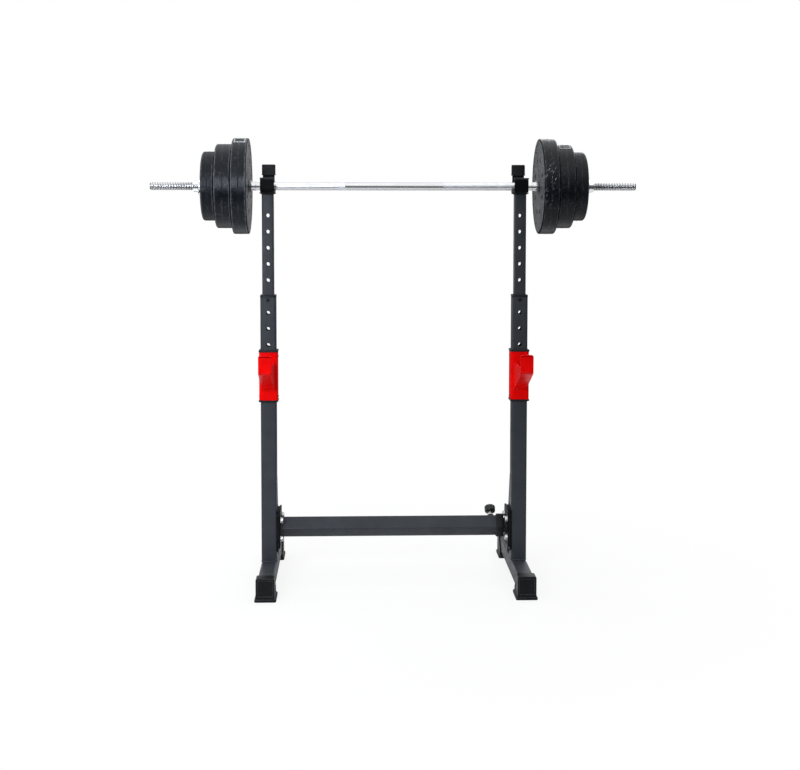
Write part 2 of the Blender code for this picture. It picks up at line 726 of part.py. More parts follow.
def catch_arm_mesh():
    """Gusseted catch arm: sloping web, two cheeks with a seat cut in them and an upturned lip."""
    low, bend = arm_outline(0.0)
    seat_y = -ARM_REACH + ARM_SHEET + SEAT_RADIUS
    seat = arc((seat_y, SEAT_LOW + SEAT_RADIUS), SEAT_RADIUS, 180, 360, 10)
    outline = [(0.0, low)] + bend + [(-ARM_REACH, LIP_TOP), (-ARM_REACH + ARM_SHEET, LIP_TOP)]
    outline += seat[:8]
    outline += arc((seat_y + SEAT_RADIUS + 5 * MM, ARM_CHEEK_TOP - 5 * MM), 5 * MM, 150, 90, 3)
    outline += [(-8 * MM, ARM_CHEEK_TOP), (0.0, ARM_CHEEK_TOP - 8 * MM)]
    body = prism("catch_arm", outline, -ARM_WIDTH / 2, ARM_WIDTH / 2, "X")
    low_in, bend_in = arm_outline(ARM_SHEET)
    pocket = [(MM, low_in - MM * (ARM_FRONT_LOW - ARM_LOW) / ARM_REACH)] + bend_in
    pocket += [(-ARM_REACH + ARM_SHEET, LIP_TOP + MM), (MM, LIP_TOP + MM)]
    half = ARM_WIDTH / 2 - ARM_SHEET
    body = combine(body, prism("pocket", pocket, -half, half, "X"))
    lip_view = rounded_rectangle(ARM_WIDTH, 2 * (LIP_TOP - ARM_LOW), 7 * MM, 4)
    view = prism("view", [(p[0], p[1] + ARM_LOW) for p in lip_view], -ARM_REACH - MM, MM, "Y")
    return combine(body, view, "INTERSECT")


def pin_mesh(length):
    """Plunger with a chamfered tip at y = 0, running out along +Y into its knob."""
    profile = ((0.0, PIN_RADIUS - 1.5 * MM), (2 * MM, PIN_RADIUS), (length, PIN_RADIUS))
    return turned_solid("pin", profile, 12, "Y")


def knob_mesh():
    """Fluted pull knob with a domed top; it starts at y = 0 over its boss."""
    bore = PIN_RADIUS + GAP
    profile = [(0.0, bore), (0.0, 0.62 * KNOB_RADIUS), (4 * MM, 0.94 * KNOB_RADIUS), (6 * MM, KNOB_RADIUS),
               (16 * MM, KNOB_RADIUS), (19 * MM, 0.86 * KNOB_RADIUS), (KNOB_LENGTH, 0.5 * KNOB_RADIUS),
               (KNOB_LENGTH, bore)]

    def fluted(index, radius, angle):
        depth = MM if 2 <= index <= 4 else 0.0
        return radius - depth * (0.5 + 0.5 * math.cos(6 * angle))

    return lathe("knob", profile, 18, "Y", fluted)


def bar_mesh():
    """Straight bar with chamfered ends."""
    profile = ((-BAR_HALF, BAR_RADIUS - 2 * MM), (-BAR_HALF + 2 * MM, BAR_RADIUS),
               (BAR_HALF - 2 * MM, BAR_RADIUS), (BAR_HALF, BAR_RADIUS - 2 * MM))
    return turned_solid("bar", profile, 24)


def bar_collar_mesh():
    """Stop collar on the bar: a slim neck and a thin flange that the plates lie against."""
    bore = BAR_RADIUS + 0.15 * MM
    end = COLLAR_WIDTH - GAP
    profile = ((0.0, bore), (0.0, BAR_COLLAR_NECK), (end - 6 * MM, BAR_COLLAR_NECK),
               (end - 5 * MM, BAR_COLLAR_RADIUS), (end, BAR_COLLAR_RADIUS), (end, bore))
    return lathe("bar_collar", profile, 24)


def weight_plate_mesh(name, thickness, radius, round_off):
    """Moulded weight plate: nearly flat faces, sunk a little between a small hub and a narrow rim."""
    sink = 1.2 * MM
    rim = radius - 13 * MM
    hub = 21 * MM
    end = thickness - 2 * GAP
    half = [(0.0, PLATE_BORE_RADIUS), (0.0, hub), (sink, hub + 1.5 * MM), (sink, rim - 1.5 * MM), (0.0, rim)]
    half += arc((round_off, radius - round_off), round_off, 180, 90, 2)
    profile = half + [(end - place, reach) for place, reach in reversed(half)]
    return lathe(name, profile, PLATE_SEGMENTS)


def large_plate_mesh(name, thickness, radius, round_off):
    """Large plate with a ring of eight round recesses in its inner face."""
    mesh = weight_plate_mesh(name, thickness, radius, round_off)
    bm = bmesh.new()
    ring = Vector((RECESS_RING, 0.0))
    for step in range(8):
        centre = Matrix.Rotation(math.radians(22.5 + 45 * step), 2) @ ring
        outline = circle(RECESS_RADIUS, 8, centre)
        loft(bm, ((outline, -MM), (outline, RECESS_DEPTH)), "X")
    return combine(mesh, mesh_from("recesses", bm))


def star_nut_mesh():
    """Spin lock nut: a six lobed star against the plates and a round hub behind it."""
    bore = PLATE_BORE_RADIUS - 0.5 * MM
    profile = ((0.0, bore), (0.0, 21 * MM), (2 * MM, 23.5 * MM), (11 * MM, 23.5 * MM), (13 * MM, 21 * MM),
               (14 * MM, 18 * MM), (NUT_LENGTH - 2 * MM, 17 * MM), (NUT_LENGTH, 15.5 * MM),
               (NUT_LENGTH, bore))

    def lobed(index, radius, angle):
        reach = 6 * MM if 1 <= index <= 4 else 0.0
        return radius + reach * (0.5 + 0.5 * math.cos(6 * angle)) ** 0.7

    return lathe("star_nut", profile, 36, "X", lobed)


def add_base(side, sign, parent, meshes):
    """Base tube, boots, upright, bush, brace and bracket of one side."""
    place = Vector((sign * UPRIGHT_X, UPRIGHT_Y, 0))
    add_object(f"{side}_base_tube", meshes["base_tube"], grey_paint(), place, parent)
    front = place - Vector((0, FRONT_REACH, 0))
    rear = place + Vector((0, REAR_REACH, 0))
    add_object(f"{side}_front_foot", meshes["foot"], black_plastic(), front, parent)
    add_object(f"{side}_rear_foot", meshes["foot"], black_plastic(), rear, parent, math.pi)
    add_object(f"{side}_upright", meshes["upright"], grey_paint(), place, parent)
    add_object(f"{side}_upright_bush", meshes["upright_bush"], black_plastic(), place, parent)
    add_object(f"{side}_brace", meshes["brace"], grey_paint(), place, parent)
    inner = UPRIGHT_X - TUBE / 2 - GAP
    for node, back in (("side_bracket", inner), ("end_plate", inner - PLATE_THICKNESS - GAP)):
        x = min(sign * back, sign * (back - PLATE_THICKNESS))
        add_object(f"{side}_{node}", meshes[node], black_steel(), (x, UPRIGHT_Y + CROSS_Y, CROSS_Z), parent)


def add_cross_tube(left_frame, right_frame, meshes):
    """Telescoping cross tube with its collar and pull pin."""
    place = Vector((0, UPRIGHT_Y + CROSS_Y, CROSS_Z))
    add_object("cross_tube_outer", meshes["cross_tube"], grey_paint(), place, left_frame)
    collar_place = place + Vector((COLLAR_START, 0, 0))
    add_object("cross_tube_collar", meshes["cross_collar"], black_plastic(), collar_place, left_frame)
    add_object("cross_tube_inner", meshes["cross_inner"], grey_paint(), place, right_frame)
    out = Vector((0, math.sin(math.radians(45)), math.cos(math.radians(45))))
    tip = place + Vector((WIDTH_PIN_X, 0, 0)) + out * (POST / 2 + PIN_TIP_GAP)
    pin_axis = axis_empty("width_pin_axis", tip, left_frame)
    tilt = Matrix.Rotation(math.radians(45), 4, "X")
    knob_reach = TUBE / 2 - POST / 2 - PIN_TIP_GAP + BOSS_LENGTH + PIN_NECK
    for node, mesh, material, reach in (
        ("width_pin", meshes["pin"], zinc(), 0.0),
        ("width_pin_knob", meshes["knob"], black_plastic(), knob_reach),
    ):
        tilted = mesh.copy()
        tilted.transform(tilt)
        add_object(node, tilted, material, tip + out * reach, pin_axis)


def add_pull_pin(name, tip, boss_end, parent, meshes):
    """Plunger and knob of one pull pin that points forward; tip and boss_end are y places."""
    axis = axis_empty(f"{name}_axis", tip, parent)
    add_object(name, meshes["pin"], zinc(), tip, axis)
    knob_place = Vector((tip.x, boss_end + PIN_NECK, tip.z))
    add_object(f"{name}_knob", meshes["knob"], black_plastic(), knob_place, axis)


def add_post(side, sign, frame, meshes):
    """Sliding post with its cap, U hook, liner and back cap."""
    place = Vector((sign * UPRIGHT_X, UPRIGHT_Y, 0))
    axis = axis_empty(f"{side}_post_axis", place, frame)
    add_object(f"{side}_post", meshes["post"], grey_paint(), place, axis)
    add_object(f"{side}_post_cap", meshes["post_cap"], black_plastic(), place, axis)
    add_object(f"{side}_hook", meshes["hook"], black_steel(), place, axis)
    add_object(f"{side}_hook_pad", meshes["hook_pad"], black_plastic(), place, axis)
    add_object(f"{side}_hook_cap", meshes["back_cap"], black_plastic(), place, axis)
    tip = Vector((place.x, UPRIGHT_Y + POST / 2 + PIN_TIP_GAP, HEIGHT_PIN_Z))
    add_pull_pin(f"{side}_height_pin", tip, UPRIGHT_Y + TUBE / 2 + BOSS_LENGTH, frame, meshes)
    return axis


def add_catch(side, sign, frame, meshes):
    """Sliding safety catch with its bushes, arm and pull pin."""
    place = Vector((sign * UPRIGHT_X, UPRIGHT_Y, 0))
    axis = axis_empty(f"{side}_catch_axis", place, frame)
    add_object(f"{side}_catch_sleeve", meshes["catch_sleeve"], red_paint(), place, axis)
    arm_place = place - Vector((0, CATCH_SIZE / 2 + GAP, 0))
    add_object(f"{side}_catch_arm", meshes["catch_arm"], red_paint(), arm_place, axis)
    top = place + Vector((0, 0, CATCH_BOTTOM + CATCH_HEIGHT))
    add_object(f"{side}_catch_upper_bush", meshes["catch_bush"], black_plastic(), top, axis)
    bottom = place + Vector((0, 0, CATCH_BOTTOM))
    lower = add_object(f"{side}_catch_lower_bush", meshes["catch_bush"], black_plastic(), bottom, axis)
    lower.rotation_euler = (math.pi, 0.0, 0.0)
    tip = Vector((place.x, UPRIGHT_Y + TUBE / 2 + PIN_TIP_GAP, CATCH_PIN_Z))
    add_pull_pin(f"{side}_catch_pin", tip, UPRIGHT_Y + CATCH_SIZE / 2 + BOSS_LENGTH, axis, meshes)


def add_barbell(parent, meshes):
    """Bar with its stop collars, three plates and a star nut at each end."""
    centre = Vector((0, UPRIGHT_Y, BAR_Z))
    barbell = axis_empty("barbell_axis", centre, parent)
    add_object("bar", meshes["bar"], chrome(), centre, barbell)
    for side, sign in SIDES:
        turn = 0.0 if sign > 0 else math.pi
        collar = centre + Vector((sign * COLLAR_INNER_X, 0, 0))
        add_object(f"{side}_bar_collar", meshes["bar_collar"], chrome(), collar, barbell, turn)
        stack = axis_empty(f"{side}_plates_axis", centre, barbell)
        for name, inner_x, *_ in PLATES:
            place = centre + Vector((sign * inner_x, 0, 0))
            add_object(f"{side}_{name}_plate", meshes[f"{name}_plate"], plate_plastic(), place, stack, turn)
        nut = centre + Vector((sign * NUT_X, 0, 0))
        add_object(f"{side}_star_nut", meshes["star_nut"], chrome(), nut, barbell, turn)


def make_meshes():
    """Every shape that the assembly repeats, made once."""
    pin_length = TUBE / 2 - POST / 2 + BOSS_LENGTH + PIN_NECK + KNOB_LENGTH - 4 * MM
    meshes = {
        "base_tube": base_tube_mesh(),
        "foot": foot_mesh(),
        "upright": upright_mesh(),
        "upright_bush": upright_bush_mesh(),
        "brace": brace_mesh(),
        "side_bracket": bracket_mesh(),
        "end_plate": end_plate_mesh(),
        "cross_tube": cross_tube_mesh(),
        "cross_collar": cross_collar_mesh(),
        "cross_inner": cross_inner_mesh(),
        "post": post_mesh(),
        "post_cap": post_cap_mesh(),
        "hook": hook_mesh(),
        "hook_pad": hook_pad_mesh(),
        "back_cap": back_cap_mesh(),
        "catch_sleeve": catch_sleeve_mesh(),
        "catch_bush": catch_bush_mesh(),
        "catch_arm": catch_arm_mesh(),
        "pin": pin_mesh(pin_length),
        "knob": knob_mesh(),
        "bar": bar_mesh(),
        "bar_collar": bar_collar_mesh(),
        "star_nut": star_nut_mesh(),
    }
    for name, _, thickness, radius, round_off in PLATES:
        make = large_plate_mesh if name == "large" else weight_plate_mesh
        meshes[f"{name}_plate"] = make(f"{name}_plate", thickness, radius, round_off)
    return meshes


def main():
    for obj in list(bpy.data.objects):
        bpy.data.objects.remove(obj)
    meshes = make_meshes()
    frames = {}
    for side, sign in SIDES:
        place = Vector((sign * UPRIGHT_X, UPRIGHT_Y, 0))
        frames[side] = axis_empty(f"{side}_frame", place, frames.get("left"))
        add_base(side, sign, frames[side], meshes)
        post_axis = add_post(side, sign, frames[side], meshes)
        add_catch(side, sign, frames[side], meshes)
        if side == "left":
            add_barbell(post_axis, meshes)
    add_cross_tube(frames["left"], frames["right"], meshes)


main()
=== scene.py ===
"""Looks of the squat stand with a racked barbell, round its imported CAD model. Lengths are in metres."""

import math
import random
from functools import cache

import bmesh
import bpy
from mathutils import Matrix, Vector


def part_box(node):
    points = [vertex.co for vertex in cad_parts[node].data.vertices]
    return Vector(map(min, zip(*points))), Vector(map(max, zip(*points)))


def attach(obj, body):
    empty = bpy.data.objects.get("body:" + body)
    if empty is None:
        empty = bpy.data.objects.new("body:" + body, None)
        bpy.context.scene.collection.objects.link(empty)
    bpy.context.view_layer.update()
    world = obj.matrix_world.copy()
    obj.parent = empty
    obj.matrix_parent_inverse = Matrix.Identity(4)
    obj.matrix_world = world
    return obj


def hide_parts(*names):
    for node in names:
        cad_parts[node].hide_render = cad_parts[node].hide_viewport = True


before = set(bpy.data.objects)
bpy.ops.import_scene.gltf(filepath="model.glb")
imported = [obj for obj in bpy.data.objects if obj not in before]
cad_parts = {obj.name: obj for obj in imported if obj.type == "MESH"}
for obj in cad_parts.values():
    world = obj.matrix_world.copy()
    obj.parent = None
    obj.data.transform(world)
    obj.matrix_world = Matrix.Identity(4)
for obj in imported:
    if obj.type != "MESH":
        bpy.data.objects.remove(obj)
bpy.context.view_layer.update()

MM = 0.001
SIDES = (("left", -1), ("right", 1))

# Sizes of the CAD model, measured from an upright's axis on the floor
UPRIGHT_X = 390 * MM
UPRIGHT_Y = -50.5 * MM
FRONT_REACH = 236 * MM
REAR_REACH = 337 * MM
TUBE = 48 * MM
WALL = 2 * MM
CORNER = 5.5 * MM
BASE_LOW = 18 * MM
BASE_TOP = 66 * MM
UPRIGHT_TOP = 892 * MM
POST = 36 * MM
POST_WALL = 1.8 * MM
POST_CORNER = 4 * MM
POST_LOW = 550 * MM
POST_TOP = 1209 * MM
HOLE = 6 * MM
HOLE_PITCH = 50 * MM
BRACE_TOP = 340 * MM
BRACE_FOOT = 120 * MM
BRACE_DEPTH = 30 * MM
PLATE_SHEET = 5 * MM
BOLT_HOLE = 5.5 * MM
CROSS_Y = 24 * MM
CROSS_Z = 166 * MM
COLLAR_X = 322 * MM
BOSS = 10 * MM
BOSS_LENGTH = 12 * MM
PIN_HOLE = 5.6 * MM
PIN_X = 308 * MM
PIN_NECK = 12 * MM
PIN_TIP_GAP = 0.6 * MM
KNOB_LENGTH = 21 * MM
HEIGHT_PIN_Z = 870 * MM
CATCH_PIN_Z = 645 * MM
CATCH_LOW = 574 * MM
CATCH_TOP = 723 * MM
CATCH = 57 * MM
ARM_WIDTH = 38.6 * MM
ARM_REACH = 172 * MM
ARM_SHEET = 4 * MM
ARM_LOW = 604 * MM
ARM_FRONT_LOW = 676 * MM
ARM_TOP = 694 * MM
LIP_TOP = 732 * MM
HOOK_FLOOR = 1215.6 * MM
HOOK_WIDTH = 43 * MM
HOOK_SHEET = 4 * MM
HOOK_LIP = 1256 * MM
HOOK_TOP = 1299 * MM
BAR_Z = 1234.7 * MM
BAR_RADIUS = 12.5 * MM
KNURL_FROM = 152 * MM
KNURL_TO = 371 * MM
RECESSES = 8
RECESS = 6.5 * MM
RECESS_REACH = 84 * MM
GAP = 0.3 * MM
TUBE_FACE = UPRIGHT_X - TUBE / 2 - GAP
CROSS_END = TUBE_FACE - 2 * PLATE_SHEET - 2 * GAP
BOLT_PLACES = [(y * 38 * MM, z * 29 * MM) for y in (-1, 1) for z in (-1, 1)]
# Each size of plate with its thickness, radius and inner and outer corner radius in millimetres
PLATES = {"large": (48.5, 147, 2.5, 4.5), "medium": (51, 129, 4.0, 6.0), "small": (41, 106, 5.0, 8.0)}
# Where round the rim of each size of plate its filler plug is, in degrees
PLUG_ANGLES = {"left": (70, 200, 150), "right": (340, 110, 20)}

# Shader helpers


class Nodes:
    """Short calls for the nodes of one tree."""

    def __init__(self, tree):
        self.tree = tree

    def put(self, socket, value):
        """Links an output to a socket, or sets the socket to a constant or a colour."""
        if isinstance(value, bpy.types.NodeSocket):
            self.tree.links.new(value, socket)
        else:
            socket.default_value = (*value, 1.0) if socket.type == "RGBA" else value

    def node(self, kind, inputs=(), **settings):
        made = self.tree.nodes.new("ShaderNode" + kind)
        for key, value in settings.items():
            setattr(made, key, value)
        for key, value in dict(inputs).items():
            self.put(made.inputs[key], value)
        return made

    def math(self, operation, first, second=0.0):
        return self.node("Math", {0: first, 1: second}, operation=operation).outputs[0]

    def times(self, value, *factors):
        for factor in factors:
            value = self.math("MULTIPLY", value, factor)
        return value

    def minus(self, first, second):
        return self.math("SUBTRACT", first, second)

    def length(self, first, second):
        squares = [self.math("POWER", value, 2.0) for value in (first, second)]
        return self.math("SQRT", self.math("ADD", *squares))

    def span(self, value, low, high, to_low=0.0, to_high=1.0):
        inputs = {"Value": value, "From Min": low, "From Max": high, "To Min": to_low, "To Max": to_high}
        return self.node("MapRange", inputs, clamp=True).outputs["Result"]

    def ramp(self, value, stops, tint=(1.0, 1.0, 1.0)):
        """A colour ramp through stops of a place and a brightness."""
        made = self.node("ValToRGB", {0: value})
        elements = made.color_ramp.elements
        for place, _ in stops[1:-1]:
            elements.new(place)
        for element, (place, level) in zip(elements, stops):
            element.position = place
            element.color = (*(level * part for part in tint), 1.0)
        return made.outputs[0]

    def blend(self, fac, first, second, **settings):
        return self.node("Mix", {0: fac, 6: first, 7: second}, data_type="RGBA", **settings).outputs[2]

    def layers(self, color, *pairs):
        """A colour under layers that each have a mask and a colour of their own."""
        for mask, tone in pairs:
            color = self.blend(mask, color, tone)
        return color


class Shader(Nodes):
    """A Principled material with short calls for the nodes that feed it."""

    def __init__(self, name, color, roughness, metallic=0.0, **constants):
        self.material = bpy.data.materials.new(name)
        self.material.use_nodes = True
        super().__init__(self.material.node_tree)
        self.out = self.tree.nodes["Principled BSDF"]
        constants.update(Base_Color=color, Roughness=roughness, Metallic=metallic)
        for key, value in constants.items():
            self.feed(key.replace("_", " "), value)
        self.place = self.node("TexCoord").outputs["Object"]
        self.normal = None

    def feed(self, key, value):
        self.put(self.out.inputs[key], value)

    def split(self):
        return self.node("SeparateXYZ", {"Vector": self.place}).outputs

    def mapped(self, vector=None, kind="POINT", **inputs):
        return self.node("Mapping", {"Vector": vector or self.place, **inputs}, vector_type=kind).outputs[0]

    def noise(self, scale, detail=3.0, rough=0.5, vector=None):
        inputs = {"Vector": vector or self.place, "Scale": scale, "Detail": detail, "Roughness": rough}
        return self.node("TexNoise", inputs).outputs["Fac"]

    def cells(self, scale):
        inputs = {"Vector": self.place, "Scale": scale}
        return self.node("TexVoronoi", inputs, feature="SMOOTH_F1").outputs["Distance"]

    def edges(self, radius):
        """1 on the edges of a shape and 0 on its faces; the coats paint a highlight there."""
        soft = self.node("Bevel", {"Radius": radius}, samples=6).outputs[0]
        true = self.node("NewGeometry").outputs["True Normal"]
        same = self.node("VectorMath", {0: soft, 1: true}, operation="DOT_PRODUCT").outputs["Value"]
        return self.span(same, 0.9, 0.99, 1.0, 0.0)

    def clouded(self, noise, first, second, low=0.3, high=0.7):
        return self.blend(self.span(noise, low, high), first, second)

    def roughen(self, noise, low, high):
        self.feed("Roughness", self.span(noise, 0.3, 0.7, low, high))

    def bump(self, height, distance, strength):
        inputs = {"Height": height, "Distance": distance, "Strength": strength}
        if self.normal is not None:
            inputs["Normal"] = self.normal
        self.normal = self.node("Bump", inputs).outputs[0]
        self.feed("Normal", self.normal)


def powder_coat(name, dark, light, edge, sheen=0.17, low=0.34, high=0.52):
    """Powder coat: fine orange peel, faint clouding, a few pale rub marks and a painted highlight along its
    edges.
    """
    s = Shader(name, dark, 0.45, Specular_IOR_Level=sheen)
    rub = s.span(s.noise(60.0, 6.0, 0.7, s.mapped(Scale=(1.0, 1.0, 0.15))), 0.66, 0.78)
    rubbed = tuple(c * 1.9 + 0.01 for c in light)
    color = s.clouded(s.noise(14.0, 4.0, 0.6), dark, light)
    # The edge colour on the edges mask is a painted highlight, standing in for light caught by the rounded
    # edges.
    s.feed("Base Color", s.layers(color, (s.times(rub, 0.35), rubbed), (s.edges(1.2 * MM), edge)))
    s.roughen(s.noise(35.0), low, high)
    s.bump(s.noise(900.0, 2.0), 0.00005, 0.5)
    s.bump(s.noise(220.0, 2.0), 0.00006, 0.35)
    return s.material


def red_gloss():
    """Glossy red paint with a thin clear coat, a slight orange peel and faint swirls."""
    s = Shader("red_gloss_look", (0.8, 0.003, 0.003), 0.3, Specular_IOR_Level=0.03, Coat_Weight=0.15,
               Coat_Roughness=0.05, Coat_IOR=1.4)
    s.feed("Base Color", s.clouded(s.noise(25.0), (0.64, 0.0012, 0.0014), (0.76, 0.0022, 0.0018)))
    s.roughen(s.noise(80.0, 4.0), 0.24, 0.38)
    s.bump(s.noise(260.0, 2.0), 0.00007, 0.35)
    return s.material


def moulded(name, dark, light, edge, low=0.42, high=0.6, grain=0.00006, sheen=0.16, pale_edge=1.3 * MM):
    """Moulded black plastic with a fine leather-like grain and a painted highlight along its edges."""
    s = Shader(name, dark, 0.5, Specular_IOR_Level=sheen)
    color = s.clouded(s.noise(30.0, 5.0, 0.6), dark, light, 0.35)
    # The edge colour along the edges is a painted highlight.
    s.feed("Base Color", s.blend(s.edges(pale_edge), color, edge))
    s.roughen(s.noise(120.0), low, high)
    s.bump(s.cells(1100.0), grain, 0.6)
    s.bump(s.noise(2400.0, 1.0), grain * 0.6, 0.4)
    return s.material


class Shell(Shader):
    """Material of one plate's shell, with the places and masks that its wear, its painted highlight and its
    painted shade follow.
    """

    def __init__(self, side, size, thickness, radius, start):
        super().__init__(f"{side}_{size}_shell_look", (0.006, 0.007, 0.009), 0.5)
        front = 1.0 if side == "left" else -1.0
        offset = 10.0 * start - 2.0 * front
        self.radius = radius
        self.half = thickness / 2
        self.x, self.y, self.z = self.split()
        self.around = self.times(self.math("ARCTAN2", self.z, self.times(self.y, front)), radius)
        self.flat = self.node("CombineXYZ", {"X": self.x, "Y": self.around, "Z": offset}).outputs[0]
        self.place = self.mapped(Location=(offset, -offset, 0.7 * offset))
        self.reach = self.length(self.y, self.z)
        self.on_rim = self.span(self.reach, radius - 8 * MM, radius - 3 * MM)
        self.off_middle = self.math("ABSOLUTE", self.minus(self.x, self.half))

    def at_corners(self, x_from, x_to, r_from, r_to):
        """1 next to the rim's two corners, faded over distances from the faces and from the rim."""
        along = self.span(self.off_middle, self.half - x_from * MM, self.half - x_to * MM)
        return self.times(along, self.span(self.reach, self.radius - r_from * MM, self.radius - r_to * MM))

    def on_faces(self, face, rim):
        return self.span(self.on_rim, 0.0, 1.0, face, rim)

    def pale_edge(self):
        """Pale streaks of wear on the corners and, fainter, on the mould line."""
        streak = self.noise(360.0, 4.0, 0.7, self.mapped(self.flat, Scale=(1.0, 0.14, 1.0)))
        middle = self.times(self.span(self.off_middle, 1.5 * MM, 4.5 * MM, 1.0, 0.0), self.on_rim, 0.4)
        corner = self.at_corners(7.5, 3, 12, 6)
        return self.times(self.math("MAXIMUM", corner, middle), self.span(streak, 0.52, 0.64), 0.4)

    def scuffs(self, cluster):
        """Thin slanting strokes on the rim, in patches, and many of them where there is a cluster."""
        slant = self.mapped(self.flat, "TEXTURE", Rotation=(0.0, 0.0, -0.62), Scale=(1.0, 8.0, 1.0))
        stroke = self.span(self.noise(560.0, 0.0, 0.5, slant), 0.7, 0.77)
        patch = self.span(self.noise(17.0, 2.0, 0.5, self.flat), 0.62, 0.72, 0.0, 0.14)
        if cluster:
            near = self.math("ABSOLUTE", self.minus(self.around, 12 * MM))
            inner = self.span(self.x, 1.2 * self.half, 1.7 * self.half, 1.0, 0.0)
            shape = self.times(self.span(near, 40 * MM, 90 * MM, 1.0, 0.0), inner)
            broken = self.span(self.noise(50.0, 3.0, 0.6, self.flat), 0.38, 0.52)
            worst = self.times(broken, self.span(near, 10 * MM, 50 * MM, 1.0, 0.4))
            patch = self.math("MAXIMUM", patch, self.times(shape, worst))
        return self.times(stroke, patch, self.on_rim)

    def recesses(self):
        """1 in the blind holes of the large plate's face, where shade is painted."""
        step = math.pi / RECESSES
        turn = self.math("PINGPONG", self.math("ARCTAN2", self.z, self.y), step)
        past = self.times(self.minus(step, turn), RECESS_REACH)
        away = self.length(past, self.minus(self.reach, RECESS_REACH))
        return self.span(away, RECESS + 0.8 * MM, RECESS + 2 * MM, 1.0, 0.0)


def plate_shell(side, size, thickness, radius, start):
    """Pebbled blue-black shell of a plate: dusty pits, pale streaks of wear, slanting scuffs, a painted
    highlight along the rim corners and painted shade in the gaps between plates and in the blind holes.
    """
    dusty, gloss = (0.3, 0.4) if size == "small" else (0.62, 0.26)
    # Strength of the painted highlight along the rim corners: stronger on the left plates, where the key
    # light falls.
    corner_highlight = 0.6 if side == "left" else 0.15
    s = Shell(side, size, thickness, radius, start)
    pebble = s.noise(185.0, 4.0, 0.62)
    patchy = s.span(s.noise(26.0, 4.0, 0.65), 0.38, 0.66, 0.1, 1.0)
    grit = s.span(s.noise(330.0, 3.0, 0.6), 0.46, 0.6)
    # Painted highlight along the rim corners, broken up by noise.
    broken = s.span(s.noise(70.0, 5.0, 0.7), 0.4, 0.6, 0.25 * corner_highlight, corner_highlight)
    # Painted shade in the narrow gaps between neighbouring plates, next to the rim corners; it also takes
    # the sheen away there.
    painted_gap_shade = s.times(s.at_corners(2.8, 1.6, 8, 6), 0.9)
    # Painted shade in the blind holes of the large plate's face; it also takes the sheen away there.
    painted_recess_shade = s.recesses() if size == "large" else 0.0
    color = s.layers(
        s.clouded(s.noise(18.0, 6.0, 0.65), (0.001, 0.0016, 0.0027), (0.003, 0.0044, 0.0074), 0.32, 0.72),
        (s.times(s.span(pebble, 0.58, 0.68), patchy, dusty), (0.085, 0.105, 0.14)),
        (s.times(grit, s.on_faces(0.6, 0.0)), (0.1, 0.112, 0.125)),
        (s.pale_edge(), (0.24, 0.26, 0.285)),
        (s.times(s.at_corners(5.5, 3.5, 5, 2), broken), (0.15, 0.165, 0.185)),
        (painted_gap_shade, (0.0008, 0.0009, 0.0012)),
        (s.scuffs((side, size) == ("right", "large")), (0.6, 0.63, 0.66)),
        (painted_recess_shade, (0.0008, 0.0009, 0.0012)),
    )
    glint = s.times(s.minus(grit, 0.35), s.on_faces(0.5, 0.0))
    sheen = s.times(s.math("ADD", glint, 0.2), s.minus(1.0, painted_gap_shade), s.minus(1.0, painted_recess_shade))
    s.feed("Specular IOR Level", sheen)
    s.feed("Base Color", color)
    s.roughen(s.noise(45.0, 4.0), gloss, gloss + 0.12)
    s.bump(s.cells(420.0), 0.0003, 0.5)
    s.bump(s.times(pebble, s.on_faces(9.0, 1.0)), 0.0007, 0.8)
    return s.material


def chrome(name, low=0.05, high=0.16, tint=(0.64, 0.65, 0.66)):
    """Bright chrome with faint smears."""
    s = Shader(name, tint, 0.1, 1.0)
    smear = s.noise(60.0, 5.0, 0.6, s.mapped(Scale=(0.2, 1.0, 1.0)))
    s.feed("Base Color", s.clouded(smear, tint, tuple(c * 0.86 for c in tint), 0.35, 0.75))
    s.roughen(s.noise(90.0, 4.0), low, high)
    s.bump(s.noise(700.0, 2.0), 0.00002, 0.3)
    return s.material


def threaded():
    """Chrome thread with painted shade in the grooves and bright crests."""
    s = Shader("thread_look", (0.8, 0.81, 0.82), 0.2, 1.0)
    _, y, z = s.split()
    # Painted shade in the thread's grooves: darker below the crests.
    painted_groove_shade = s.span(s.length(y, z), BAR_RADIUS - 1.3 * MM, BAR_RADIUS - 0.3 * MM, 1.0, 0.0)
    s.feed("Base Color", s.blend(painted_groove_shade, (0.9, 0.91, 0.92), (0.16, 0.16, 0.165)))
    s.roughen(s.noise(150.0, 4.0), 0.14, 0.34)
    return s.material


def knurled():
    """Chrome over a diamond knurl: two crossing screw patterns round the bar's own axis, with painted shade
    in its valleys and dull patches.
    """
    s = Shader("knurl_look", (0.84, 0.85, 0.86), 0.18, 1.0)
    x, y, z = s.split()
    along = s.times(x, 2.0 * math.pi / (1.9 * MM))
    around = s.times(s.math("ARCTAN2", z, y), 42.0)
    screws = [s.math("ABSOLUTE", s.math("SINE", s.math(way, along, around))) for way in ("ADD", "SUBTRACT")]
    height = s.math("MINIMUM", *screws)
    dull = s.span(s.noise(130.0, 5.0, 0.7, s.mapped(Scale=(0.6, 1.0, 1.0))), 0.42, 0.66)
    # Darker in the knurl's valleys, a painted shade, and in dull patches of random tone.
    valley_shade_and_dull = s.math("MAXIMUM", s.span(height, 0.0, 0.45, 1.0, 0.0), s.times(dull, 0.7))
    s.feed("Base Color", s.blend(valley_shade_and_dull, (0.78, 0.79, 0.8), (0.56, 0.57, 0.58)))
    s.roughen(s.noise(200.0), 0.28, 0.4)
    s.bump(height, 0.00012, 0.5)
    return s.material


def zinc_plate():
    """Bright zinc with a light brush and a faint yellow-blue drift."""
    s = Shader("zinc_look", (0.6, 0.61, 0.62), 0.3, 1.0)
    s.feed("Base Color", s.clouded(s.noise(120.0), (0.56, 0.58, 0.62), (0.66, 0.65, 0.6)))
    s.roughen(s.noise(400.0, 3.0, 0.5, s.mapped(Scale=(0.1, 1.0, 1.0))), 0.2, 0.42)
    s.bump(s.noise(1500.0, 2.0), 0.00002, 0.4)
    return s.material
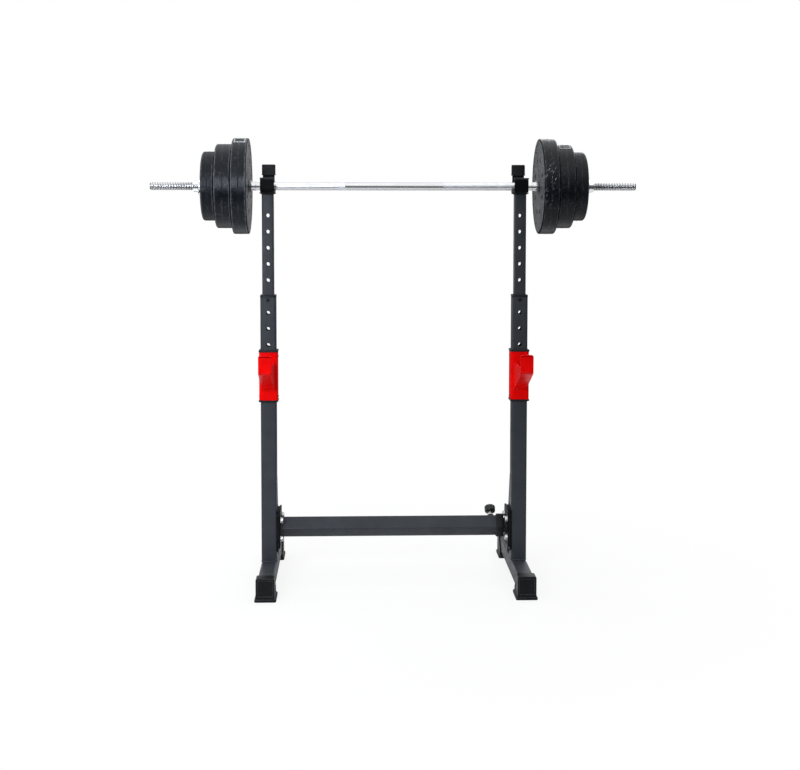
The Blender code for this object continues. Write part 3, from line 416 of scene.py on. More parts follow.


# The edge colour that each coat and plastic gets is a painted highlight along its edges.
GREY = powder_coat("grey_powder_coat_look", (0.0248, 0.0275, 0.0312), (0.0332, 0.0368, 0.0416),
                   (0.04, 0.044, 0.05))
BLACK_STEEL = powder_coat("black_hook_look", (0.0016, 0.0017, 0.0019), (0.0032, 0.0032, 0.0037),
                          (0.05, 0.052, 0.056), 0.06, 0.46, 0.62)
RED = red_gloss()
BLACK = moulded("black_plastic_look", (0.0042, 0.0044, 0.0048), (0.0078, 0.008, 0.0086),
                (0.036, 0.037, 0.04))
PAD = moulded("hook_pad_look", (0.0045, 0.0045, 0.005), (0.008, 0.008, 0.009), (0.07, 0.072, 0.076),
              0.4, 0.55, 0.0001)
BOOT = moulded("boot_look", (0.0036, 0.0038, 0.0042), (0.007, 0.0073, 0.008), (0.06, 0.063, 0.067),
               0.3, 0.44, 0.00006, 0.12, 1.8 * MM)
KNOB = moulded("knob_look", (0.004, 0.004, 0.0045), (0.007, 0.007, 0.0076), (0.06, 0.062, 0.066),
               0.2, 0.3, 0.00003, 0.5)
PLUG_FRAME = moulded("plug_frame_look", (0.3, 0.305, 0.31), (0.6, 0.61, 0.62), (0.7, 0.71, 0.72),
                     0.4, 0.6, 0.0001)
SCREW = moulded("dark_screw_look", (0.012, 0.012, 0.013), (0.03, 0.03, 0.03), (0.06, 0.06, 0.06), 0.3, 0.45)
CHROME = chrome("chrome_look")
NUT_CHROME = chrome("star_nut_look", 0.12, 0.26, (0.95, 0.955, 0.96))
KNURL = knurled()
THREAD = threaded()
ZINC = zinc_plate()
GREY_PAINT = (GREY, "grey_powder_coat")
RED_PAINT = (RED, "red_gloss_paint")
ZINC_COAT = (ZINC, "zinc_plate")

# Mesh helpers

AXES = {
    "X": Matrix(((0, 0, 1), (1, 0, 0), (0, 1, 0))),
    "Y": Matrix(((1, 0, 0), (0, 0, 1), (0, 1, 0))),
    "Z": Matrix.Identity(3),
}


def mm(rows):
    """Rows of numbers in millimetres, in metres."""
    return [tuple(number * MM for number in row) for row in rows]


def resharpen(mesh, sharp=32):
    mesh.shade_smooth()
    mesh.set_sharp_from_angle(angle=math.radians(sharp))
    return mesh


def mesh_from(bm, sharp=32):
    bmesh.ops.recalc_face_normals(bm, faces=bm.faces)
    mesh = bpy.data.meshes.new("piece")
    bm.to_mesh(mesh)
    bm.free()
    return resharpen(mesh, sharp)


def combine(mesh, cutter, operation="DIFFERENCE"):
    """The Boolean of two meshes that share one frame."""
    body = bpy.data.objects.new("work_body", mesh)
    tool = bpy.data.objects.new("work_tool", cutter)
    for obj in (body, tool):
        bpy.context.scene.collection.objects.link(obj)
    boolean = body.modifiers.new("Boolean", "BOOLEAN")
    boolean.operation = operation
    boolean.solver = "EXACT"
    boolean.object = tool
    graph = bpy.context.evaluated_depsgraph_get()
    result = bpy.data.meshes.new_from_object(body.evaluated_get(graph))
    bpy.data.objects.remove(body)
    bpy.data.objects.remove(tool)
    return result


def turns(count, offset=0.0):
    """Angles at even steps round a full turn."""
    return [2 * math.pi * (step + offset) / count for step in range(count)]


def polar(radius, angle, centre=(0.0, 0.0)):
    return centre[0] + radius * math.cos(angle), centre[1] + radius * math.sin(angle)


def arc(centre, radius, start, end, steps):
    """Points between two angles in degrees."""
    angles = [math.radians(start + (end - start) * step / steps) for step in range(steps + 1)]
    return [polar(radius, angle, centre) for angle in angles]


def circle(radius, segments, centre=(0.0, 0.0)):
    angles = [2 * math.pi / segments * step for step in range(segments)]
    return [Vector(centre) + radius * Vector((math.cos(angle), math.sin(angle))) for angle in angles]


def rounded_rectangle(width, depth, radius, steps=6):
    points = []
    for corner, (sign_x, sign_y) in enumerate(((1, 1), (-1, 1), (-1, -1), (1, -1))):
        centre = Vector((sign_x * (width / 2 - radius), sign_y * (depth / 2 - radius)))
        for step in range(steps + 1):
            angle = math.radians(90 * (corner + step / steps))
            points.append(centre + radius * Vector((math.cos(angle), math.sin(angle))))
    return points


def square(size, radius, steps=6):
    return rounded_rectangle(size, size, radius, steps)


def shifted(points, up):
    return [(p[0], p[1] + up) for p in points]


def ring(bm, points, place, axis):
    return [bm.verts.new(AXES[axis] @ Vector((p[0], p[1], place))) for p in points]


def skin(bm, rings, closed=False):
    """Faces from ring to ring; the last ring joins the first one, or else both get a cap."""
    for first, second in zip(rings, rings[1:] + rings[:1] if closed else rings[1:]):
        for i in range(len(first)):
            j = (i + 1) % len(first)
            bm.faces.new((first[i], first[j], second[j], second[i]))
    if not closed:
        bm.faces.new(rings[0])
        bm.faces.new(rings[-1])


def loft(sections, axis="Z"):
    """A solid skinned through sections of an outline and a place."""
    bm = bmesh.new()
    skin(bm, [ring(bm, points, place, axis) for points, place in sections])
    return mesh_from(bm)


def prism(points, low, high, axis="Z"):
    return loft(((points, low), (points, high)), axis)


def skin_pipe(bm, rings):
    """A pipe from rings that are in turn an outer and an inner one."""
    skin(bm, rings[0::2] + rings[1::2][::-1], True)
    return mesh_from(bm)


def pipe(sections, axis="Z"):
    """A pipe skinned through sections of an outer outline, an inner outline and a place."""
    bm = bmesh.new()
    return skin_pipe(bm, [ring(bm, side, section[2], axis) for section in sections for side in section[:2]])


def square_tube(size, wall, corner, low, high, axis="Z", turn=0.0):
    roll = Matrix.Rotation(turn, 2)
    outer = [roll @ p for p in square(size, corner)]
    inner = [roll @ p for p in square(size - 2 * wall, corner - wall)]
    return pipe(((outer, inner, low), (outer, inner, high)), axis)


def turned(profile, segments, axis="X", closed=True, radius_at=None, sharp=32):
    """Turns a profile of (place, radius) points; a closed one has a bore, an open one is capped."""
    bm = bmesh.new()
    rings = []
    for index, (place, radius) in enumerate(profile):
        points = []
        for angle in turns(segments):
            reach = radius_at(index, radius, angle, place) if radius_at else radius
            points.append(polar(reach, angle))
        rings.append(ring(bm, points, place, axis))
    skin(bm, rings, closed)
    return mesh_from(bm, sharp)


def drilled(mesh, centres, radius, low, high, axis, segments=28):
    """The mesh with round holes from low to high along an axis."""
    bm = bmesh.new()
    for centre in centres:
        outline = circle(radius, segments, centre)
        skin(bm, [ring(bm, outline, place, axis) for place in (low, high)])
    return resharpen(combine(mesh, mesh_from(bm)))


def hole_column(top, count):
    return [(0.0, top - HOLE_PITCH * i) for i in range(count)]


def with_boss(mesh, spot, face, axis="Y"):
    """The tube with a pin boss on one face and the pin's hole through the boss and that wall."""
    boss = prism(circle(BOSS, 40, spot), face - 0.8 * MM, face + BOSS_LENGTH, axis)
    return drilled(combine(mesh, boss, "UNION"), (spot,), PIN_HOLE, 0.0, 2 * face, axis)


def boss_ring(radius, face, height):
    """Path of the weld round a boss on a tube's rear face."""
    path = [polar(radius, angle, (0.0, height)) for angle in turns(24)]
    return [(x, face + 0.4 * MM, z) for x, z in path]


def resample(points, spacing, closed):
    """Points at an even spacing along a path."""
    path = [Vector(p) for p in points]
    if closed:
        path.append(path[0])
    lengths = [(b - a).length for a, b in zip(path, path[1:])]
    total = sum(lengths)
    count = max(4, round(total / spacing))
    made = []
    index, start = 0, 0.0
    for step in range(count if closed else count + 1):
        want = total * step / count
        while index < len(lengths) - 1 and start + lengths[index] < want - 1e-9:
            start += lengths[index]
            index += 1
        made.append(path[index].lerp(path[index + 1], min(1.0, (want - start) / lengths[index])))
    return made


def weld_bead(points, radius, closed, seed):
    """A rippled weld bead along a path, with rounded ends where it is open."""
    rng = random.Random(seed)
    path = resample(points, 0.8 * MM, closed)
    bm = bmesh.new()
    rings = []
    count = len(path)
    drift = rng.uniform(0, 6)
    for i, point in enumerate(path):
        before = path[i - 1] if closed or i else point
        after = path[(i + 1) % count] if closed or i < count - 1 else point
        forward = (after - before).normalized()
        side = forward.orthogonal() if abs(forward.z) > 0.95 else forward.cross((0, 0, 1))
        side.normalize()
        up = side.cross(forward)
        ripple = 1 + 0.13 * math.sin(i * 2 * math.pi / 4.0 + drift) + 0.1 * math.sin(i * 0.11 + drift)
        size = radius * ripple * (1 + rng.uniform(-0.05, 0.05))
        if not closed:
            size *= min(1.0, 0.35 + 0.3 * min(i, count - 1 - i))
        around = [math.cos(angle) * side + math.sin(angle) * up for angle in turns(8)]
        rings.append([bm.verts.new(point + size * outward) for outward in around])
    skin(bm, rings, closed)
    return mesh_from(bm, 80)


def soften(obj, width, segments, method):
    made = obj.modifiers.new("Bevel", "BEVEL")
    made.width = width
    made.segments = segments
    made.limit_method = method
    made.angle_limit = math.radians(40)
    made.harden_normals = True


def facing(sign):
    """The turn of a piece that points to +X at rest, so that it points to the side of the sign."""
    return Matrix.Rotation(0.0 if sign > 0 else math.pi, 3, "Z").to_quaternion()


class Pieces:
    """Adds visible pieces that ride on one body, placed from one point and named with one prefix."""

    def __init__(self, body, at, prefix=""):
        self.body = body
        self.at = Vector(at)
        self.prefix = prefix

    def add(self, name, mesh, material, shift, bevel, turn):
        body = self.body
        obj = bpy.data.objects.new(name, mesh)
        bpy.context.scene.collection.objects.link(obj)
        obj.location = self.at + Vector(shift)
        if turn is not None:
            obj.rotation_mode = "QUATERNION"
            obj.rotation_quaternion = turn
        if not mesh.materials:
            mesh.materials.append(material)
        if bevel:
            soften(obj, bevel, 2, "ANGLE")
        bpy.context.view_layer.update()
        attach(obj, body)
        return obj

    def look(self, name, mesh, material, shift=(0, 0, 0), bevel=0.0, turn=None):
        """A detailed piece that stands for a CAD node."""
        node = self.prefix + name
        obj = self.add(f"look_{node}", mesh, material, shift, bevel, turn)
        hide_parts(node)
        return obj

    def extra(self, name, mesh, material, slot, shift=(0, 0, 0), bevel=0.0, turn=None):
        """A small piece that the CAD model leaves out."""
        obj = self.add(self.prefix + name, mesh, material, shift, bevel, turn)

    def weld(self, name, paint, points, radius, closed, seed):
        """A weld bead along a path, in a pair of a material and its slot; the slot is not used."""
        self.extra(name, weld_bead(points, radius, closed, seed), *paint)


# Stand frame


@cache
def base_tube_mesh():
    low = -FRONT_REACH + 4 * MM + GAP
    high = REAR_REACH - 4 * MM - GAP
    mesh = square_tube(TUBE, WALL, CORNER, low, high, "Y")
    mesh.transform(Matrix.Translation((0, 0, BASE_LOW + TUBE / 2)))
    return mesh


@cache
def foot_mesh():
    """Moulded boot, with its nose at y = 0, a framed panel, sloped cheeks and a stepped sole."""
    width, length = 56.5 * MM, 92 * MM
    sole = mm([(63.4, 91, 0), (65, 92, 0.8), (65, 92, 6.6), (64.2, 91.4, 7.4)])
    base = loft([(shifted(rounded_rectangle(w, d, 5 * MM, 5), length / 2), z) for w, d, z in sole])
    step = shifted(rounded_rectangle(60 * MM, 89 * MM, 5 * MM, 5), length / 2 + 0.4 * MM)
    base = combine(base, prism(step, 7 * MM, 9.4 * MM), "UNION")
    cheek = [(1.2 * MM, 9 * MM), (length - 7 * MM, 9 * MM), (length - 9 * MM, 20 * MM), (46 * MM, 63 * MM)]
    cheek += arc((41 * MM, 65 * MM), 6 * MM, 10, 90, 4) + arc((5 * MM, 67 * MM), 4 * MM, 90, 175, 4)
    boot = prism(cheek, -width / 2, width / 2, "X")
    front_view = rounded_rectangle(width, 142 * MM, 5 * MM)
    boot = combine(boot, prism(front_view, -MM, length + MM, "Y"), "INTERSECT")
    boot = combine(base, boot, "UNION")
    centre_z = BASE_LOW + TUBE / 2
    pocket = shifted(square(TUBE + 2 * GAP, CORNER), centre_z)
    boot = combine(boot, prism(pocket, 4 * MM, length + MM, "Y"))
    panel = shifted(square(46 * MM, 3 * MM), centre_z - 2 * MM)
    boot = combine(boot, prism(panel, -MM, 2.8 * MM, "Y"))
    face = mm([(18, 17), (70, 17), (45, 46), (18, 46)])
    for sign in (-1, 1):
        low, high = sorted((sign * (width / 2 - 0.9 * MM), sign * (width / 2 + MM)))
        boot = combine(boot, prism(face, low, high, "X"))
    return resharpen(boot)


@cache
def upright_mesh():
    mesh = square_tube(TUBE, WALL, CORNER, BASE_TOP + GAP, UPRIGHT_TOP)
    mesh = with_boss(mesh, (0.0, HEIGHT_PIN_Z), TUBE / 2)
    mesh = drilled(mesh, hole_column(884 * MM, 1), HOLE, -TUBE, 0.0, "Y")
    return drilled(mesh, hole_column(845 * MM, 6), HOLE, -TUBE, TUBE, "Y")


def guide_bush_mesh(bore, tube, tube_corner, flange, height, skirt_length):
    """A guide bush for a tube's end: flange up, skirt down inside the tube."""
    inner = square(bore, tube_corner)
    skirt = square(tube - 2 * GAP, tube_corner + 0.5 * MM)
    sections = [(skirt, inner, -skirt_length), (skirt, inner, GAP)]
    for inset, place in ((0.6 * MM, GAP), (0.0, MM), (0.0, height - 2.2 * MM), (0.5 * MM, height - MM),
                         (1.4 * MM, height - 0.3 * MM), (2.4 * MM, height)):
        sections.append((square(flange - 2 * inset, 7 * MM - inset), inner, place))
    return pipe(sections)


@cache
def upright_bush_mesh():
    bush = guide_bush_mesh(36.8 * MM, 44 * MM, 4 * MM, 49.4 * MM, 8 * MM, 40 * MM)
    return drilled(bush, ((0.0, HEIGHT_PIN_Z - UPRIGHT_TOP),), PIN_HOLE, 0.0, TUBE, "Y")


@cache
def catch_bush_mesh():
    return guide_bush_mesh(48.8 * MM, 51 * MM, 5.4 * MM, 60 * MM, 6 * MM, 22 * MM)


@cache
def post_mesh():
    mesh = square_tube(POST, POST_WALL, POST_CORNER, POST_LOW, POST_TOP)
    mesh = drilled(mesh, hole_column(1145 * MM, 11), HOLE, -POST, POST, "Y")
    return drilled(mesh, hole_column(1170 * MM, 11), HOLE, 0.0, POST, "Y")


@cache
def brace_mesh():
    """Sloping rear tube, mitred on the upright and on the base tube."""
    top, foot = Vector((0, TUBE / 2, BRACE_TOP)), Vector((0, BRACE_FOOT, BASE_TOP))
    direction = (foot - top).normalized()
    inward = Vector((0, direction.z, -direction.y))
    origin = (top + foot) / 2 + inward * BRACE_DEPTH / 2
    across = Vector((1, 0, 0))
    up = direction.cross(across)
    outer = rounded_rectangle(TUBE, BRACE_DEPTH, 4.5 * MM)
    inner = rounded_rectangle(TUBE - 2 * WALL, BRACE_DEPTH - 2 * WALL, 2.5 * MM)
    bm = bmesh.new()
    rings = []
    for point, normal in ((Vector((0, TUBE / 2 + GAP, 0)), Vector((0, 1, 0))),
                          (Vector((0, 0, BASE_TOP + GAP)), Vector((0, 0, 1)))):
        for outline in (outer, inner):
            starts = [origin + across * p[0] + up * p[1] for p in outline]
            reaches = [(point - start).dot(normal) / direction.dot(normal) for start in starts]
            rings.append([bm.verts.new(start + direction * reach) for start, reach in zip(starts, reaches)])
    return skin_pipe(bm, rings)


def bolted_plate(outline):
    plate = prism(outline, 0.0, PLATE_SHEET, "X")
    return drilled(plate, BOLT_PLACES, BOLT_HOLE, -MM, PLATE_SHEET + MM, "X")


@cache
def end_plate_mesh():
    return bolted_plate(rounded_rectangle(104 * MM, 120 * MM, 10 * MM, 8))


@cache
def bracket_mesh():
    return bolted_plate(mm([(-52, -68), (30, -68), (52, -46), (52, 38), (30, 60), (-52, 60)]))


def rolled(mesh):
    """Rolls a piece of the cross tube by 45 degrees, so that a boss on top points up and to the rear."""
    mesh.transform(Matrix.Rotation(math.radians(-45), 4, "X"))
    return resharpen(mesh)


def cross_tube_mesh():
    mesh = square_tube(TUBE, WALL, CORNER, -CROSS_END, COLLAR_X, "X")
    return rolled(with_boss(mesh, (PIN_X, 0.0), TUBE / 2, "Z"))


def cross_inner_mesh():
    return square_tube(POST, POST_WALL, POST_CORNER, 20 * MM, CROSS_END, "X", math.radians(45))


def cross_collar_mesh():
    bore = square(POST + 0.8 * MM, 4 * MM)
    mouth = square(POST + 8 * MM, 6 * MM)
    skirt = square(43.4 * MM, 3 * MM)
    sections = [(skirt, bore, -8 * MM), (skirt, bore, GAP)]
    for inset, place, inner in ((2.5, 0.3, bore), (0.6, 2.0, bore), (0.0, 4.0, bore), (0.0, 18.5, bore),
                                (0.6, 20.5, bore), (2.5, 24.0, mouth)):
        sections.append((square((59 - 2 * inset) * MM, (12 - inset) * MM), inner, place * MM))
    return rolled(pipe(sections, "X"))


@cache
def hex_bolt_mesh():
    """Washer, hexagon head with a chamfered crown and a dished top; it stands on x = 0 and points to +X."""
    washer = mm([(0, 5.4), (0, 10), (0.4, 10.4), (1.6, 10.4), (2, 10), (2, 5.4)])
    head = prism(circle(9.2 * MM, 6), 2.05 * MM, 8.6 * MM, "X")
    crown = turned(mm([(-1, 9.4), (7, 9.4), (8.7, 7.2), (8.9, 7)]), 40, closed=False)
    bm = bmesh.new()
    bm.from_mesh(turned(washer, 40))
    bm.from_mesh(combine(head, crown, "INTERSECT"))
    return mesh_from(bm)


@cache
def pin_mesh():
    reach = TUBE / 2 - POST / 2 + BOSS_LENGTH + PIN_NECK + KNOB_LENGTH - 4 * MM
    return turned(mm([(0.0, 2.6), (0.5, 3.6), (2.2, 5)]) + [(reach, 5 * MM)], 32, "Y", closed=False)


@cache
def pin_sleeve_mesh():
    """Threaded zinc nose and lock nut that stand on the boss round the pin; y = 0 is the boss's end."""
    profile = [(0, 5.5), (0, 8.6), (0.4, 9), (3.6, 9), (4, 8.6), (4, 7)]
    for turn in range(6):
        place = 4.4 + turn * 0.9
        profile += [(place, 7.2), (place + 0.45, 6.6)]
    profile += [(9.8, 6.4), (9.8, 5.5)]

    def hexed(index, radius, angle, place):
        if index not in (1, 2, 3, 4):
            return radius
        step = math.pi / 3
        return radius / math.cos((angle % step) - step / 2) * 0.93

    return turned(mm(profile), 48, "Y", radius_at=hexed)


@cache
def knob_mesh():
    """Pull knob: chamfered foot, ten flutes up nearly straight sides and a low dome."""
    profile = [(0, 5.2), (0, 11), (0.3, 12), (1.2, 14), (2.2, 15.6), (3.2, 16.4), (4.6, 16.8), (10, 16.9),
               (16.4, 17), (18.6, 16.9), (19.8, 16.3), (20.5, 15.3), (20.8, 14), (21, 12), (21, 5.2)]

    def fluted(index, radius, angle, place):
        depth = 1.5 * MM * min(1.0, max(0.0, place / (2 * MM) - 1), max(0.0, 9.4 - place / (2 * MM)))
        return radius - depth * max(0.0, math.cos(10 * angle)) ** 2

    return turned(mm(profile), 100, "Y", radius_at=fluted, sharp=40)


def build_side_frame(side, sign):
    """Base, upright, brace and plates of one side with their welds and bolts."""
    p = Pieces(f"{side}_frame", (sign * UPRIGHT_X, UPRIGHT_Y, 0), f"{side}_")
    p.look("base_tube", base_tube_mesh(), GREY, bevel=0.4 * MM)
    p.look("front_foot", foot_mesh(), BOOT, (0, -FRONT_REACH, 0), 0.5 * MM)
    p.look("rear_foot", foot_mesh(), BOOT, (0, REAR_REACH, 0), 0.5 * MM, facing(-1))
    p.look("upright", upright_mesh(), GREY, bevel=0.4 * MM)
    p.look("upright_bush", upright_bush_mesh(), BLACK, (0, 0, UPRIGHT_TOP))
    p.look("brace", brace_mesh(), GREY, bevel=0.3 * MM)
    joint = Pieces(f"{side}_frame", (0, UPRIGHT_Y + CROSS_Y, CROSS_Z), f"{side}_")
    back = TUBE_FACE
    for node, mesh in (("side_bracket", bracket_mesh()), ("end_plate", end_plate_mesh())):
        low = min(sign * back, sign * (back - PLATE_SHEET))
        joint.look(node, mesh, BLACK_STEEL, (low, 0, 0), 0.8 * MM)
        back -= PLATE_SHEET + GAP
    for i, (y, z) in enumerate(BOLT_PLACES):
        spot = (sign * (back + GAP), y, z)
        joint.extra(f"plate_bolt_{i + 1}", hex_bolt_mesh(), *ZINC_COAT, spot, 0.3 * MM, facing(-sign))
    edge = TUBE / 2
    toe = BASE_TOP + MM
    # Each weld with one end, the axis that it crosses from there to the mirrored end, and its radius
    for i, (name, end, axis, radius) in enumerate((
        ("upright_front", (20 * MM, -edge - MM, toe), 0, 2.3 * MM),
        ("upright_rear", (20 * MM, edge + MM, toe), 0, 2.3 * MM),
        ("seam_out", (edge, 20 * MM, BASE_TOP), 1, 1.3 * MM),
        ("seam_in", (-edge, 20 * MM, BASE_TOP), 1, 1.3 * MM),
        ("brace_top", (19 * MM, edge + 0.8 * MM, BRACE_TOP + MM), 0, 2.2 * MM),
        ("brace_foot", (19 * MM, BRACE_FOOT + MM, toe), 0, 2.3 * MM),
        ("brace_heel", (19 * MM, 87 * MM, toe), 0, 2.0 * MM),
    )):
        start = Vector(end)
        start[axis] *= -1
        p.weld(f"weld_{name}", GREY_PAINT, (start, end), radius, False, 10 * i + sign)
    p.weld("weld_boss", GREY_PAINT, boss_ring(10.6 * MM, edge, HEIGHT_PIN_Z), 1.5 * MM, True, 70 + sign)


def build_cross_tube():
    at = Vector((0, UPRIGHT_Y + CROSS_Y, CROSS_Z))
    p = Pieces("left_frame", at, "cross_tube_")
    p.look("outer", cross_tube_mesh(), GREY, bevel=0.4 * MM)
    p.look("collar", cross_collar_mesh(), BLACK, (COLLAR_X, 0, 0))
    Pieces("right_frame", at, "cross_tube_").look("inner", cross_inner_mesh(), GREY, bevel=0.3 * MM)
    turn = Matrix.Rotation(math.radians(45), 2)
    for side, sign, size, radius in (("left", -1, TUBE, 2.2 * MM), ("right", 1, POST, 1.4 * MM)):
        end_x = sign * (CROSS_END - 0.45 * radius)
        path = [(end_x, *(turn @ point)) for point in square(size + 0.7 * radius, CORNER)]
        end = Pieces(f"{side}_frame", at, f"{side}_")
        end.weld("weld_cross", GREY_PAINT, path, radius, True, 80 + sign)
    tilt = Matrix.Rotation(math.radians(45), 3, "X")
    pull_pin("width_pin", at + Vector((PIN_X, 0, 0)), POST, TUBE, "left_frame", tilt)


def pull_pin(node, at, inner, outer, carrier, tilt=Matrix.Identity(3)):
    """Pin and knob on their own body, and the threaded nose on the body that carries the boss."""
    turn = tilt.to_quaternion()
    out = tilt @ Vector((0, 1, 0))
    tip = at + out * (inner / 2 + PIN_TIP_GAP)
    boss_end = outer / 2 - inner / 2 - PIN_TIP_GAP + BOSS_LENGTH
    p = Pieces(f"{node}_body", tip, node)
    p.look("", pin_mesh(), ZINC, turn=turn)
    p.look("_knob", knob_mesh(), KNOB, out * (boss_end + PIN_NECK), turn=turn)
    Pieces(carrier, tip, node).extra("_nose", pin_sleeve_mesh(), *ZINC_COAT, out * boss_end, turn=turn)


# Posts and hooks


def u_path(inset, front_top, back_top):
    front, back = -42 * MM + inset, 52 * MM - inset
    radius = 12 * MM - inset
    height = HOOK_FLOOR + inset + radius
    path = [(front, front_top)]
    path += arc((front + radius, height), radius, 180, 270, 12)
    path += arc((back - radius, height), radius, 270, 360, 12)
    return path + [(back, back_top)]


def bent_strip(outside, inside, width_at):
    bm = bmesh.new()
    rings = []
    for skin_point, core in zip(outside, inside):
        half = width_at(skin_point) / 2
        corners = ((-half, *skin_point), (half, *skin_point), (half, *core), (-half, *core))
        rings.append([bm.verts.new(corner) for corner in corners])
    skin(bm, rings)
    return mesh_from(bm)


@cache
def hook_mesh():
    neck_low, neck_high = HOOK_FLOOR + 30 * MM, HOOK_FLOOR + 36 * MM

    def path(inset):
        points = u_path(inset, HOOK_LIP, HOOK_TOP)
        back = points[-1][0]
        return points[:-1] + [(back, neck_low), (back, neck_high), (back, HOOK_TOP)]

    def width_at(point):
        return HOOK_WIDTH if point[0] < 0 or point[1] <= neck_low else 37 * MM

    mesh = bent_strip(path(0.0), path(HOOK_SHEET), width_at)
    outline = rounded_rectangle(HOOK_WIDTH, 2 * (HOOK_LIP - HOOK_FLOOR), 3.5 * MM)
    view = prism(shifted(outline, HOOK_FLOOR), -90 * MM, 0.0, "Y")
    low, high = HOOK_FLOOR - 40 * MM, HOOK_TOP + 40 * MM
    box = [(-40 * MM, low), (40 * MM, low), (40 * MM, high), (-40 * MM, high)]
    view = combine(view, prism(box, -MM, 100 * MM, "Y"), "UNION")
    return resharpen(combine(mesh, view, "INTERSECT"))


@cache
def hook_pad_mesh():
    """Liner of the hook, with a rolled edge that folds over the lip's top."""
    outside = HOOK_SHEET + GAP
    top, back_top = HOOK_LIP + MM, 1264 * MM

    def width_at(point):
        return 35 * MM if point[1] >= back_top else 41.6 * MM

    strip = bent_strip(u_path(outside, top, back_top), u_path(outside + 2 * MM, top, back_top), width_at)
    roll = arc((-39.0 * MM, 1257.2 * MM), 3.4 * MM, 180, 0, 8)
    roll += mm([(-35.6, 1254.6), (-37.6, 1254.6), (-37.6, 1256.3), (-42.4, 1256.3)])
    return combine(strip, prism(roll, -22.2 * MM, 22.2 * MM, "X"), "UNION")


@cache
def back_cap_mesh():
    """Soft cap on the back plate with a rounded crown and a flared skirt."""
    centre_y = 50 * MM
    sections = []
    for width, depth, z in ((44.5, 14, 0), (44.5, 14, 1), (42.8, 12.6, 2.6), (42, 12, 4), (42, 12, 28.5),
                            (41.2, 11.2, 31), (39.6, 9.8, 32.4), (37.5, 8, 33)):
        outline = rounded_rectangle(width * MM, depth * MM, min(3.5, depth / 2 - 0.8) * MM, 5)
        sections.append((shifted(outline, centre_y), (1270 + z) * MM))
    slot = shifted(mm([(-18.8, -2.3), (18.8, -2.3), (18.8, 2.3), (-18.8, 2.3)]), centre_y)
    slot = prism(slot, 1269 * MM, HOOK_TOP + GAP)
    return resharpen(combine(loft(sections), slot), 38)


@cache
def post_cap_mesh():
    sections = mm([(29.8, 2, -17.7), (31.8, 2, -14.7), (31.8, 2, 0.3), (36, 4, 0.3), (42, 4, 2.2),
                   (49, 4, 4), (50, 4, 4.8), (50, 4, 5.8), (49.4, 4, 6.3)])
    return loft([(square(size, corner), POST_TOP + z) for size, corner, z in sections])


def build_post(side, sign):
    p = Pieces(f"{side}_post_body", (sign * UPRIGHT_X, UPRIGHT_Y, 0), f"{side}_")
    p.look("post", post_mesh(), GREY, bevel=0.35 * MM)
    p.look("post_cap", post_cap_mesh(), BOOT, bevel=0.3 * MM)
    p.look("hook", hook_mesh(), BLACK_STEEL, bevel=0.7 * MM)
    p.look("hook_pad", hook_pad_mesh(), PAD, bevel=0.5 * MM)
    p.look("hook_cap", back_cap_mesh(), BLACK)
    pull_pin(f"{side}_height_pin", p.at + Vector((0, 0, HEIGHT_PIN_Z)), POST, TUBE, f"{side}_frame")


# Safety catches


@cache
def catch_sleeve_mesh():
    mesh = square_tube(CATCH, 3 * MM, 7 * MM, CATCH_LOW, CATCH_TOP)
    return with_boss(mesh, (0.0, CATCH_PIN_Z), CATCH / 2)


def arm_outline(inset):
    """Height of the arm's underside at the sleeve, and the bend from its underside to its front."""
    slope = math.atan2(ARM_FRONT_LOW - ARM_LOW, ARM_REACH)
    bend = 12 * MM - inset
    low = ARM_LOW + inset / math.cos(slope)
    corner_y = -ARM_REACH + inset
    lift = bend * math.tan(math.pi / 4 - slope / 2)
    corner_z = low + math.tan(slope) * -corner_y
    return low, arc((corner_y + bend, corner_z + lift), bend, 270 - math.degrees(slope), 180, 10)


def catch_arm_mesh():
    """Bent channel arm with rounded folds between its web and cheeks, a seat and an upturned lip."""
    low, bend = arm_outline(0.0)
    lip = -ARM_REACH + ARM_SHEET
    seat = 16 * MM
    outline = [(0.0, low)] + bend + [(-ARM_REACH, LIP_TOP), (lip, LIP_TOP)]
    outline += arc((lip + seat, 700 * MM), seat, 180, 360, 20)[:15]
    outline += arc((lip + 2 * seat + 5 * MM, ARM_TOP - 5 * MM), 5 * MM, 150, 90, 6)
    outline += [(-8 * MM, ARM_TOP), (0.0, ARM_TOP - 8 * MM)]
    body = prism(outline, -ARM_WIDTH / 2, ARM_WIDTH / 2, "X")
    low, bend = arm_outline(ARM_SHEET)
    pocket = [(MM, low - MM * (ARM_FRONT_LOW - ARM_LOW) / ARM_REACH)] + bend
    pocket += [(lip, LIP_TOP + MM), (MM, LIP_TOP + MM)]
    half = ARM_WIDTH / 2 - ARM_SHEET
    body = combine(body, prism(pocket, -half, half, "X"))
    view = shifted(rounded_rectangle(ARM_WIDTH, 2 * (LIP_TOP - ARM_LOW), 7 * MM, 8), ARM_LOW)
    return resharpen(combine(body, prism(view, -ARM_REACH - MM, MM, "Y"), "INTERSECT"))


def soften_arm(obj):
    """Wide folds where the web meets the cheeks and small ones on every other edge."""
    mesh = obj.data
    mesh.attributes.new("bevel_weight_edge", "FLOAT", "EDGE")
    slope = (ARM_FRONT_LOW - ARM_LOW) / ARM_REACH
    limit = math.cos(math.radians(32))
    bm = bmesh.new()
    bm.from_mesh(mesh)
    layer = bm.edges.layers.float.get("bevel_weight_edge")
    for edge in bm.edges:
        if len(edge.link_faces) != 2 or edge.link_faces[0].normal.dot(edge.link_faces[1].normal) > limit:
            continue
        middle = (edge.verts[0].co + edge.verts[1].co) / 2
        outer = abs(abs(middle.x) - ARM_WIDTH / 2) < 0.3 * MM
        under = middle.z < ARM_LOW - slope * middle.y + 8 * MM
        edge[layer] = 1.0 if outer and under and abs(middle.y) > 0.5 * MM else 0.2
    bm.to_mesh(mesh)
    bm.free()
    soften(obj, 3.6 * MM, 4, "WEIGHT")


